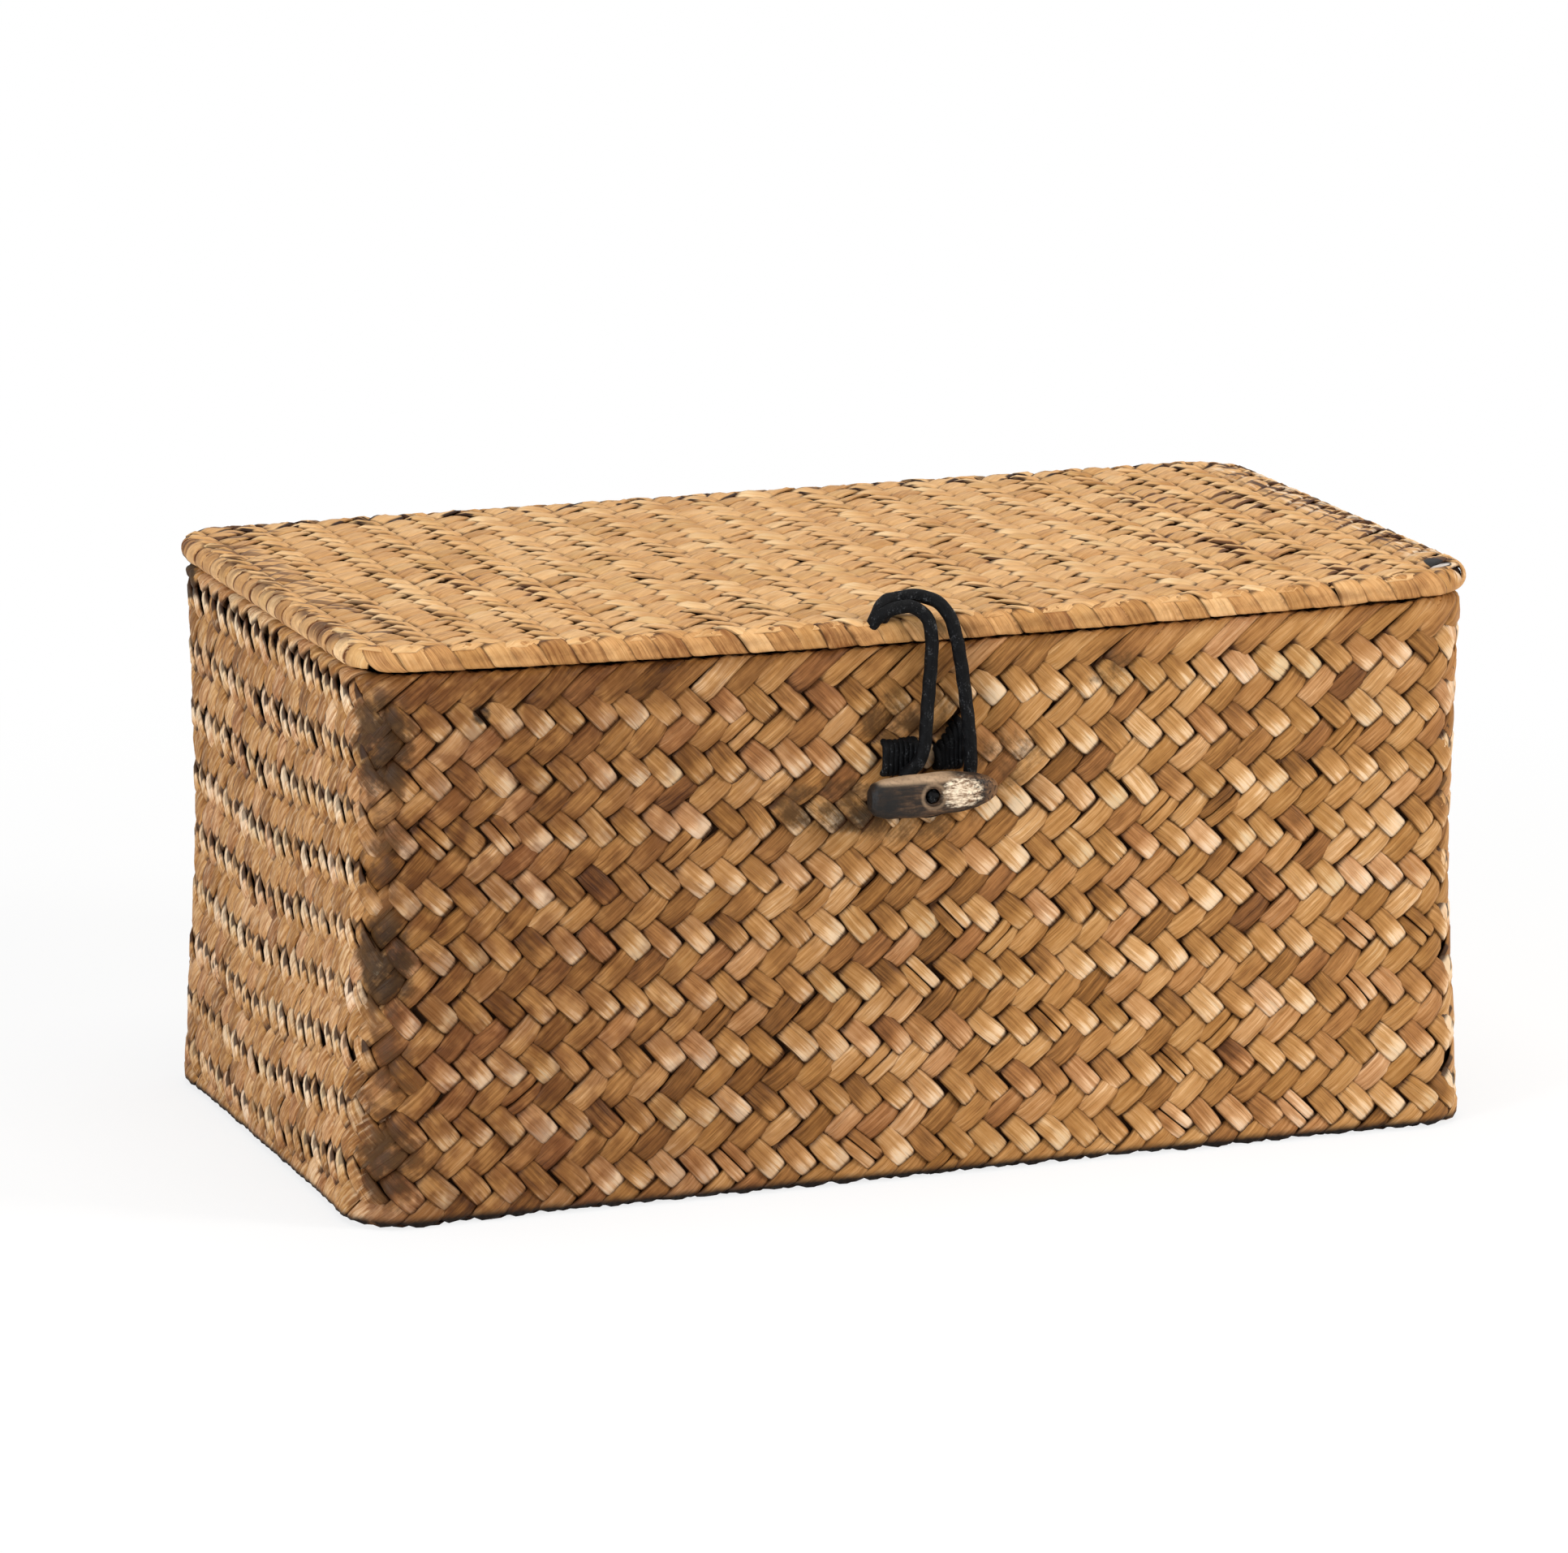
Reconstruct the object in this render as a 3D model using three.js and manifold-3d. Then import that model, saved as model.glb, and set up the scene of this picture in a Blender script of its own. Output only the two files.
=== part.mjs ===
// A small woven box with a hinged lid, closed by a cord loop over a toggle.
// Millimetres, +Z up, +X along the box's length, front (toggle side) towards -Y.
// The origin is the middle of the flat bottom.
import * as THREE from "three";
import { mergeVertices } from "three/addons/utils/BufferGeometryUtils.js";
import Module from "manifold-3d";

// Clearances and cuts
const fitGap = 0.3; // between pieces that touch on the real box
const cutOverrun = 2; // how far every cutter runs past what it cuts
const weldTolerance = 0.001;

// Box body, outside, at the rim
const bodyLength = 227;
const bodyDepth = 121;
const bodyHeight = 106;
const bodyCornerRadius = 10.5; // upright corners
const bottomEdgeRadius = 2; // where the walls turn into the base
const footSwell = 1.4; // the walls stand out this far near the base
const footHeight = 9; // height of that bulge
const waistDraw = 0.7; // and are drawn in this far at the waist
const waistHeight = 55;

// The two woven layers of walls and base
const outerLayerThickness = 1.8;
const innerLayerThickness = 1.2;

// Rolled binding that closes both layers at the rim
const bindingHeight = 3.2;
const bindingProud = 0.3; // how far it stands out of the walls, inside and out

// Lid
const lidOverhang = 1.5;
const lidThickness = 5.4;
const borderWidth = 5.4; // rolled border, seen from above
const topMatThickness = 2.2;
const topMatDrop = 0.3; // the mat lies this far under the border's crest
const underMatThickness = 2;

// Two cord rings that hinge the lid, sewn through its border and the rim binding
const hingeCordDiameter = 1.8;
const hingeTieInset = 45; // from each end of the body to a ring

// Toggle: a crossbar lying along the front wall
const toggleLength = 25.8;
const toggleHeight = 8.6;
const toggleThickness = 6.2;
const toggleMiddleX = -3.1;
const toggleDrop = 28.7; // from the rim down to the toggle's middle
const boreX = -4.1; // the hole and its cord are at the bar's centre of mass
const boreRise = 0.2; // above the toggle's middle
const toggleStandOff = 5.3; // from the wall to the toggle's back
const toggleTipRise = 0.5; // the right end turns up this far
const eyeDiameter = 3.8; // countersink round the tie's front knot
const eyeDepth = 2;

// Toggle tie: the cord that runs from the eye through the wall
const tieCordDiameter = 1.8;
const tieFrontKnotDiameter = 3;
const tieFrontKnotLength = 1.5;
const tieBackKnotDiameter = 4.8;
const tieBackKnotLength = 3;

// Flat cord stitch round the front wall, above the toggle
const stitchLeftX = -10.4;
const stitchRightX = 6.2;
const stitchDrop = 22; // from the rim down to the stitch's middle
const stitchHeight = 4.4;
const stitchThickness = 1.6;

// Closure loop and the anchor that it hangs from
const loopCordDiameter = 2.6;
const anchorX = -10.2;
const anchorTailDiameter = 2.4;
const anchorTailSlant = 45; // degrees: it runs down and inwards through the border's middle
const anchorTailRise = 3.6; // along the tail, from the border's middle up into the lump
const anchorTailDrop = 6.9; // and down to the knot
const anchorKnotDiameter = 4.6; // the knot under the lid
const anchorLumpLength = 5.6; // along X, where the cords come out over the border
const anchorLumpDepth = 6;
const anchorLumpHeight = 3.2;
const anchorLumpTilt = 20; // degrees, down towards its left end
const anchorLumpForward = 1.7; // from the border's middle to the lump's middle

// How finely round shapes are faceted
const cornerSteps = 6; // each upright corner
const sectionSteps = 12; // the rolled sections
const ringSteps = 28; // the hinge rings, all the way round
const cordSides = 8;
const loopSteps = 44;
const barSides = 14; // round the toggle
const boreSides = 16;
const knotRows = 6;

// Shares of the toggle's length, and there of its height and of its thickness
const toggleStationShares = [
  [0, 0.5, 0.45],
  [0.03, 0.76, 0.72],
  [0.12, 0.93, 0.92],
  [0.3, 1, 1],
  [0.52, 1, 1],
  [0.7, 0.95, 0.95],
  [0.84, 0.8, 0.82],
  [0.93, 0.6, 0.62],
  [0.985, 0.36, 0.36],
  [1, 0.2, 0.2],
];

// Shares of a bottom edge's quarter turn, and of each half of a wall's height, that have a ring
const edgeTurnShares = [0, 1 / 3, 2 / 3];
const wallHeightShares = [0, 1 / 3, 2 / 3];

// Centreline of the loop: two strands over the lid's edge and round behind the toggle.
// It starts and ends at the anchor.
const loopPoints = [
  [-7.3, -62.4, 112.4],
  [-5.6, -62.5, 112.4],
  [-3.9, -62.9, 111.7],
  [-2.6, -63.4, 110.3],
  [-1.9, -63.8, 108.2],
  [-1.7, -64, 104.6],
  [-2.1, -64, 98],
  [-2.6, -64.1, 92],
  [-3, -64.2, 86.6],
  [-3.5, -64, 83.9],
  [-4.2, -63.6, 82.3],
  [-6.4, -63.2, 79.9],
  [-7.1, -63, 77.5],
  [-6.6, -62.9, 75.3],
  [-5.3, -62.9, 73.7],
  [-3, -62.9, 72.7],
  [0.9, -62.9, 73.1],
  [3.8, -62.9, 74.2],
  [5.8, -63, 76.4],
  [6.6, -63.2, 79.2],
  [6.5, -63.8, 82.4],
  [6.1, -64.1, 87],
  [5.4, -64.1, 93],
  [4.6, -64, 99],
  [3.6, -64, 104.7],
  [2.7, -63.9, 108.3],
  [1.7, -63.3, 110.9],
  [0.1, -62, 112.8],
  [-2, -60.7, 113.7],
  [-4.5, -59.8, 113.9],
  [-7.3, -59.4, 113.5],
];

// Sizes that follow
const hingeCordRadius = hingeCordDiameter / 2;
const halfLength = bodyLength / 2;
const halfDepth = bodyDepth / 2;
const wallThickness = outerLayerThickness + fitGap + innerLayerThickness;
const bindingBottom = bodyHeight - bindingHeight;
const layersTop = bindingBottom - fitGap;
const lidBottom = bodyHeight + fitGap;
const lidTop = lidBottom + lidThickness;
const lidHalfDepth = halfDepth + lidOverhang;
const borderMiddleZ = lidBottom + lidThickness / 2;
const borderMiddleY = borderWidth / 2 - lidHalfDepth; // of its front run
const borderInset = -lidOverhang; // measured from the body's outside, inwards
const matInset = borderInset + borderWidth + fitGap;
const topMatTop = lidTop - topMatDrop;
const underMatTop = topMatTop - topMatThickness - fitGap;
const hingeAxis = { y: lidHalfDepth, z: bodyHeight + fitGap / 2 };
const hingeRingRadius = Math.hypot(borderWidth / 2, borderMiddleZ - hingeAxis.z);
const toggleMiddleZ = bodyHeight - toggleDrop;
const boreZ = toggleMiddleZ + boreRise;
const stitchMiddleZ = bodyHeight - stitchDrop;
const toggleBack = -halfDepth - toggleStandOff;
const toggleMiddleY = toggleBack - toggleThickness / 2;
const toggleFront = toggleBack - toggleThickness;

// How far the walls stand out of the rim's outline at a height
function wallOffset(z) {
  const ease = (share) => (1 - Math.cos(Math.PI * share)) / 2;
  if (z <= footHeight) return footSwell;
  if (z <= waistHeight) {
    const share = ease((z - footHeight) / (waistHeight - footHeight));
    return footSwell - share * (footSwell + waistDraw);
  }
  const share = ease(Math.min(1, (z - waistHeight) / (bodyHeight - waistHeight)));
  return share * waistDraw - waistDraw;
}

// One level loop of the body's rounded outline, moved inwards by inset
function planRing(inset, z) {
  const x = halfLength - inset;
  const y = halfDepth - inset;
  const radius = Math.max(bodyCornerRadius - inset, fitGap);
  const corners = [
    [x - radius, y - radius, 0],
    [radius - x, y - radius, 1],
    [radius - x, radius - y, 2],
    [x - radius, radius - y, 3],
  ];
  return corners.flatMap(([cx, cy, quarter]) =>
    Array.from({ length: cornerSteps + 1 }, (_, step) => {
      const angle = (quarter + step / cornerSteps) * (Math.PI / 2);
      return new THREE.Vector3(cx + radius * Math.cos(angle), cy + radius * Math.sin(angle), z);
    }),
  );
}

// A closed skin over a stack of convex loops with equal counts.
// Its ends are flat, unless the stack runs round to its start.
function skinOver(rings, runsRound) {
  const count = rings[0].length;
  const index = [];
  const spans = runsRound ? rings.length : rings.length - 1;
  for (let row = 0; row < spans; row += 1) {
    const below = row * count;
    const above = ((row + 1) % rings.length) * count;
    for (let i = 0; i < count; i += 1) {
      const j = (i + 1) % count;
      index.push(below + i, below + j, above + j);
      index.push(below + i, above + j, above + i);
    }
  }
  const last = (rings.length - 1) * count;
  for (let i = 1; !runsRound && i < count - 1; i += 1) {
    index.push(0, i + 1, i);
    index.push(last, last + i, last + i + 1);
  }
  const geometry = new THREE.BufferGeometry();
  geometry.setFromPoints(rings.flat());
  geometry.setIndex(index);
  return geometry;
}

// Heights between which a wall is straight enough for one facet
function wallHeights(bottom, top) {
  const foot = Math.max(footHeight, bottom);
  const lower = wallHeightShares.map((share) => foot + (waistHeight - foot) * share);
  const upper = wallHeightShares.map((share) => waistHeight + (top - waistHeight) * share);
  return [...lower, ...upper, top];
}

// Loops of one face of a layer, from its flat bottom up to its top
function layerRings(inset, bottom, edgeRadius) {
  const edge = edgeTurnShares.map((share) => {
    const turn = share * (Math.PI / 2);
    const rise = edgeRadius * (1 - Math.cos(turn));
    const drawn = edgeRadius * (1 - Math.sin(turn));
    return planRing(inset + drawn - footSwell, bottom + rise);
  });
  const walls = wallHeights(bottom + edgeRadius, layersTop).map((z) =>
    planRing(inset - wallOffset(z), z),
  );
  return [...edge, ...walls];
}

// An open tray: outer face up, over the top edge, inner face down to the floor
function tray(inset, bottom, thickness, edgeRadius) {
  const outside = layerRings(inset, bottom, edgeRadius);
  const innerEdge = Math.max(edgeRadius - thickness, thickness);
  const inside = layerRings(inset + thickness, bottom + thickness, innerEdge);
  return skinOver([...outside, ...inside.reverse()], false);
}

// A closed loop round the box with a rolled section
function rolledLoop(insetOfMiddle, middleZ, halfWidth, halfHeight) {
  const rings = Array.from({ length: sectionSteps }, (_, step) => {
    const turn = (step / sectionSteps) * 2 * Math.PI;
    const inset = insetOfMiddle - halfWidth * Math.cos(turn);
    return planRing(inset, middleZ + halfHeight * Math.sin(turn));
  });
  return skinOver(rings, true);
}

// A flat mat with the lid's rounded outline
function mat(inset, bottom, thickness) {
  return skinOver([planRing(inset, bottom), planRing(inset, bottom + thickness)], false);
}

const library = await Module();
library.setup();

// A closed three.js geometry as a solid that can be cut and joined
function solidFrom(geometry) {
  const bare = geometry.clone();
  bare.deleteAttribute("normal");
  bare.deleteAttribute("uv");
  const welded = mergeVertices(bare, weldTolerance);
  return new library.Manifold(
    new library.Mesh({
      numProp: 3,
      vertProperties: welded.attributes.position.array,
      triVerts: new Uint32Array(welded.index.array),
    }),
  );
}

function geometryFrom(solid) {
  const { vertProperties, triVerts } = solid.getMesh();
  const geometry = new THREE.BufferGeometry();
  geometry.setAttribute("position", new THREE.BufferAttribute(vertProperties, 3));
  geometry.setIndex(new THREE.BufferAttribute(triVerts, 1));
  return geometry;
}

function cut(geometry, ...cutters) {
  const solids = cutters.map(solidFrom);
  return geometryFrom(solids.reduce((left, cutter) => left.subtract(cutter), solidFrom(geometry)));
}

function join(geometry, ...others) {
  const solids = others.map(solidFrom);
  return geometryFrom(solids.reduce((sum, other) => sum.add(other), solidFrom(geometry)));
}

// Pieces that run through the walls or the lid, with an extra radius when they cut their own hole

function hingeRing(side, extraRadius) {
  const x = side * (halfLength - hingeTieInset);
  const ring = new THREE.TorusGeometry(
    hingeRingRadius,
    hingeCordRadius + extraRadius,
    cordSides,
    ringSteps,
  );
  return ring.rotateY(Math.PI / 2).translate(x, hingeAxis.y, hingeAxis.z);
}

function hingeHoles() {
  return [hingeRing(-1, fitGap), hingeRing(1, fitGap)];
}

// A turned shape along Y: radii and the places where they apply
function turnedAlongY(profile) {
  const points = profile.map(([radius, y]) => new THREE.Vector2(radius, y));
  return new THREE.LatheGeometry(points, boreSides);
}

function atBore(geometry) {
  return geometry.translate(boreX, 0, boreZ);
}

const liningInside = -halfDepth - wallOffset(boreZ) + wallThickness;
const tieFrontKnotFace = toggleFront + eyeDepth - fitGap - tieFrontKnotLength;
const tieBackKnotStart = liningInside + fitGap;

function toggleTie() {
  const stem = tieCordDiameter / 2;
  const frontKnot = tieFrontKnotDiameter / 2;
  const backKnot = tieBackKnotDiameter / 2;
  const backKnotMiddle = tieBackKnotStart + tieBackKnotLength / 2;
  const backKnotEnd = tieBackKnotStart + tieBackKnotLength;
  return atBore(
    turnedAlongY([
      [0, tieFrontKnotFace],
      [stem, tieFrontKnotFace],
      [frontKnot, tieFrontKnotFace + tieFrontKnotLength / 2],
      [stem, tieFrontKnotFace + tieFrontKnotLength],
      [stem, tieBackKnotStart],
      [backKnot, backKnotMiddle],
      [stem, backKnotEnd],
      [0, backKnotEnd],
    ]),
  );
}

function tieBore(from, to) {
  const radius = tieCordDiameter / 2 + fitGap;
  const bore = new THREE.CylinderGeometry(radius, radius, to - from, boreSides);
  return atBore(bore.translate(0, (from + to) / 2, 0));
}

// The stitch: a flat ring round the front wall, through two slits
const stitchWallFace = -halfDepth - wallOffset(stitchMiddleZ);

function stitchRing() {
  const front = stitchWallFace - fitGap - stitchThickness;
  const back = stitchWallFace + wallThickness + fitGap + stitchThickness;
  const outline = new THREE.Shape();
  outline.moveTo(stitchLeftX, front);
  outline.lineTo(stitchRightX, front);
  outline.lineTo(stitchRightX, back);
  outline.lineTo(stitchLeftX, back);
  outline.closePath();
  const hole = new THREE.Path();
  hole.moveTo(stitchLeftX + stitchThickness, front + stitchThickness);
  hole.lineTo(stitchLeftX + stitchThickness, back - stitchThickness);
  hole.lineTo(stitchRightX - stitchThickness, back - stitchThickness);
  hole.lineTo(stitchRightX - stitchThickness, front + stitchThickness);
  hole.closePath();
  outline.holes.push(hole);
  const ring = new THREE.ExtrudeGeometry(outline, { depth: stitchHeight, bevelEnabled: false });
  return ring.translate(0, 0, stitchMiddleZ - stitchHeight / 2);
}

function stitchSlit(edgeX, inwards) {
  const width = stitchThickness + 2 * fitGap;
  const depth = wallThickness + 2 * cutOverrun;
  const slit = new THREE.BoxGeometry(width, depth, stitchHeight + 2 * fitGap);
  const x = edgeX + (inwards * stitchThickness) / 2;
  return slit.translate(x, stitchWallFace + wallThickness / 2, stitchMiddleZ);
}

// The lid's rolled border, or a thicker one that cuts what sits on it
function borderRoll(extraRadius) {
  const middle = borderInset + borderWidth / 2;
  const halfWidth = borderWidth / 2 + extraRadius;
  return rolledLoop(middle, borderMiddleZ, halfWidth, lidThickness / 2 + extraRadius);
}

// A round bar along the anchor's tail, between two distances from the border's middle
function alongTail(radius, above, below) {
  const tail = new THREE.CylinderGeometry(radius, radius, above + below, boreSides);
  tail.rotateX(Math.PI / 2).translate(0, 0, (above - below) / 2);
  tail.rotateX(THREE.MathUtils.degToRad(anchorTailSlant));
  return tail.translate(anchorX, borderMiddleY, borderMiddleZ);
}

// The anchor: a lump of cord on the border, a tail through it and a knot under the lid
function loopAnchor() {
  const lump = new THREE.SphereGeometry(anchorLumpHeight / 2, boreSides, knotRows);
  lump.scale(anchorLumpLength / anchorLumpHeight, anchorLumpDepth / anchorLumpHeight, 1);
  lump.rotateY(THREE.MathUtils.degToRad(-anchorLumpTilt));
  const lumpZ = lidTop + anchorLumpHeight / 2 - fitGap;
  lump.translate(anchorX, borderMiddleY - anchorLumpForward, lumpZ);
  const knot = new THREE.SphereGeometry(anchorKnotDiameter / 2, boreSides, knotRows);
  const slant = THREE.MathUtils.degToRad(anchorTailSlant);
  const knotY = borderMiddleY + anchorTailDrop * Math.sin(slant);
  knot.translate(anchorX, knotY, borderMiddleZ - anchorTailDrop * Math.cos(slant));
  const tail = alongTail(anchorTailDiameter / 2, anchorTailRise, anchorTailDrop);
  return join(tail, knot, cut(lump, borderRoll(fitGap)));
}

function anchorBore() {
  const radius = anchorTailDiameter / 2 + fitGap;
  return alongTail(radius, anchorTailRise + cutOverrun, anchorTailDrop + cutOverrun);
}

function closureLoop() {
  const curve = new THREE.CatmullRomCurve3(
    loopPoints.map(([x, y, z]) => new THREE.Vector3(x, y, z)),
    false,
    "centripetal",
  );
  const section = new THREE.Shape();
  const radius = loopCordDiameter / 2;
  for (let side = 0; side < cordSides; side += 1) {
    const turn = (side / cordSides) * 2 * Math.PI;
    const x = radius * Math.cos(turn);
    const y = radius * Math.sin(turn);
    if (side === 0) section.moveTo(x, y);
    else section.lineTo(x, y);
  }
  section.closePath();
  return new THREE.ExtrudeGeometry(section, { steps: loopSteps, extrudePath: curve });
}

// The crossbar: rounded sections along X, drilled through, with a countersunk eye
function toggleBar() {
  const rings = toggleStationShares.map(([along, heightShare, thicknessShare]) => {
    const x = toggleMiddleX + (along - 1 / 2) * toggleLength;
    const rise = toggleTipRise * along * along;
    return Array.from({ length: barSides }, (_, side) => {
      const turn = (side / barSides) * 2 * Math.PI;
      const y = toggleMiddleY + thicknessShare * (toggleThickness / 2) * Math.cos(turn);
      const z = toggleMiddleZ + rise + heightShare * (toggleHeight / 2) * Math.sin(turn);
      return new THREE.Vector3(x, y, z);
    });
  });
  const eyeRadius = eyeDiameter / 2;
  const eye = new THREE.CylinderGeometry(eyeRadius, eyeRadius, eyeDepth + cutOverrun, boreSides);
  eye.translate(0, toggleFront + (eyeDepth - cutOverrun) / 2, 0);
  const bore = tieBore(toggleFront - cutOverrun, toggleBack + cutOverrun);
  return cut(skinOver(rings, false), bore, atBore(eye));
}

// Box

function frontCutters() {
  return [
    tieBore(-halfDepth - cutOverrun, wallThickness + cutOverrun - halfDepth),
    stitchSlit(stitchLeftX, 1),
    stitchSlit(stitchRightX, -1),
  ];
}

function outerBasket() {
  const basket = tray(0, 0, outerLayerThickness, bottomEdgeRadius);
  return cut(basket, ...frontCutters(), ...hingeHoles());
}

function innerLining() {
  const inset = outerLayerThickness + fitGap;
  const edge = Math.max(bottomEdgeRadius - inset, innerLayerThickness);
  return cut(tray(inset, inset, innerLayerThickness, edge), ...frontCutters());
}

function rimBinding() {
  const width = wallThickness + 2 * bindingProud;
  const middle = bodyHeight - bindingHeight / 2;
  const binding = rolledLoop(wallThickness / 2, middle, width / 2, bindingHeight / 2);
  return cut(binding, ...hingeHoles());
}

// Lid

function lidBorder() {
  return cut(borderRoll(0), anchorBore(), ...hingeHoles());
}

function lidMat(top, thickness) {
  const flat = mat(matInset, top - thickness, thickness);
  return cut(flat, anchorBore());
}

// Materials

function finish(color, roughness) {
  return new THREE.MeshStandardMaterial({ color, roughness, metalness: 0, flatShading: true });
}

const wallStraw = finish(0xb98a50, 0.7);
const liningStraw = finish(0xc59a63, 0.75);
const lidStraw = finish(0xdcb27a, 0.65);
const borderStraw = finish(0xd2a56c, 0.65);
const blackCord = finish(0x141312, 0.5);
const horn = finish(0x4a3a2c, 0.4);

function piece(name, geometry, material) {
  const mesh = new THREE.Mesh(geometry, material.clone());
  mesh.geometry.computeVertexNormals();
  mesh.name = name;
  return mesh;
}

const box = new THREE.Group();
box.add(
  piece("outer_basket", outerBasket(), wallStraw),
  piece("inner_lining", innerLining(), liningStraw),
  piece("rim_binding", rimBinding(), borderStraw),
  piece("hinge_tie_left", hingeRing(-1, 0), blackCord),
  piece("hinge_tie_right", hingeRing(1, 0), blackCord),
  piece("toggle_tie", toggleTie(), blackCord),
  piece("toggle_stitch", stitchRing(), blackCord),
);

const lid = new THREE.Group();
lid.add(
  piece("lid_border", lidBorder(), borderStraw),
  piece("lid_top_mat", lidMat(topMatTop, topMatThickness), lidStraw),
  piece("lid_under_mat", lidMat(underMatTop, underMatThickness), liningStraw),
  piece("loop_anchor", loopAnchor(), blackCord),
);

const wovenBox = new THREE.Group();
wovenBox.add(box, lid);
wovenBox.add(piece("closure_loop", closureLoop(), blackCord));
wovenBox.add(piece("toggle", toggleBar(), horn));

export default wovenBox;
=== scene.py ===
"""Looks for a small woven box with a hinged lid, closed by a black cord loop over a horn toggle.

Lengths are in metres, in the model's own frame: +Z up, +X along the box, the front towards -Y.
The walls, lid and base are plaited from short strips, each laid on its surface by its place there:
u along the surface, b across it, and out away from it.
"""

import math

import bmesh
import bpy
import numpy as np
from bpy.props import FloatProperty, FloatVectorProperty, IntProperty, PointerProperty
from mathutils import Matrix, Vector


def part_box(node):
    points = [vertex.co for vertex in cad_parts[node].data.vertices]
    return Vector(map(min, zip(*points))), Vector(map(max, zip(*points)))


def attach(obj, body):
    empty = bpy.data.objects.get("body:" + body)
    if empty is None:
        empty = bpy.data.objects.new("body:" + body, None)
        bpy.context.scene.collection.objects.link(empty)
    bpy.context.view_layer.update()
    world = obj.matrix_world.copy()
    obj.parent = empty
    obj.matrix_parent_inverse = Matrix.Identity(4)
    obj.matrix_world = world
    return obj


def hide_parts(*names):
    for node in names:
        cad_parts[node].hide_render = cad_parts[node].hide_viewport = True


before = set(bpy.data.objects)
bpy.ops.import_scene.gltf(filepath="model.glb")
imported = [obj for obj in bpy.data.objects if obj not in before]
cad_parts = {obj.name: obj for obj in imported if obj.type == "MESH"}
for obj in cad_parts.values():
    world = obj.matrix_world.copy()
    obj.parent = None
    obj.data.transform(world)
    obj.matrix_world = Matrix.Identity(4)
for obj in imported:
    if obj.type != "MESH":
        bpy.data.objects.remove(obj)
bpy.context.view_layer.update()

bl_info = {
    "name": "Woven lidded box",
    "version": (1, 0, 0),
    "blender": (4, 5, 0),
    "location": "3D View > Sidebar > Woven box",
    "description": "Builds the plaited walls, lid, cords and toggle of a small woven box",
    "category": "Add Mesh",
}

MM = 0.001

# Body, as in the model
HALF_LENGTH = 113.5 * MM
HALF_DEPTH = 60.5 * MM
CORNER_RADIUS = 10.5 * MM
BOTTOM_EDGE_RADIUS = 2 * MM
FOOT_SWELL = 1.4 * MM
FOOT_HEIGHT = 9 * MM
WAIST_DRAW = 0.7 * MM
WAIST_HEIGHT = 55 * MM
BODY_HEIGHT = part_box("rim_binding")[1].z
WALL_THICKNESS = 3.3 * MM

# Lid, as in the model
LID_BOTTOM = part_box("lid_border")[0].z
LID_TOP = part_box("lid_border")[1].z
LID_OVERHANG = 1.5 * MM
BORDER_RADIUS = (LID_TOP - LID_BOTTOM) / 2
TOP_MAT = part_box("lid_top_mat")
UNDER_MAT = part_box("lid_under_mat")

# The box's sides, in the order in which the rim's outline passes them
RUNS = ("front", "right", "back", "left")


def srgb(red, green, blue):
    """A colour of 0 to 255 parts as Blender's linear red, green, blue and alpha."""
    parts = [c / 255 for c in (red, green, blue)]
    return [c / 12.92 if c <= 0.04045 else ((c + 0.055) / 1.055) ** 2.4 for c in parts] + [1.0]


class Sock:
    """One output of a node, which Python's sums and products can use."""

    def __init__(self, recipe, socket):
        self.recipe = recipe
        self.socket = socket

    def math(self, operation, *inputs):
        return self.recipe.node("ShaderNodeMath", {"operation": operation}, list(inputs))

    def __add__(self, other):
        return self.math("ADD", self, other)

    def __sub__(self, other):
        return self.math("SUBTRACT", self, other)

    def __rsub__(self, other):
        return self.math("SUBTRACT", other, self)

    def __mul__(self, other):
        return self.math("MULTIPLY", self, other)

    def __truediv__(self, other):
        return self.math("DIVIDE", self, other)

    __radd__ = __add__
    __rmul__ = __mul__

    def size(self):
        return self.math("ABSOLUTE", self)

    def power(self, exponent):
        return self.math("POWER", self, exponent)

    def wave(self):
        return self.math("SINE", self)

    def largest(self, other):
        return self.math("MAXIMUM", self, other)

    def smooth(self, low, high):
        """0 below low and 1 above high, with a soft change between them."""
        settings = {"interpolation_type": "SMOOTHSTEP"}
        values = {"Value": self, "From Min": low, "From Max": high}
        return self.recipe.node("ShaderNodeMapRange", settings, values)


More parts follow.
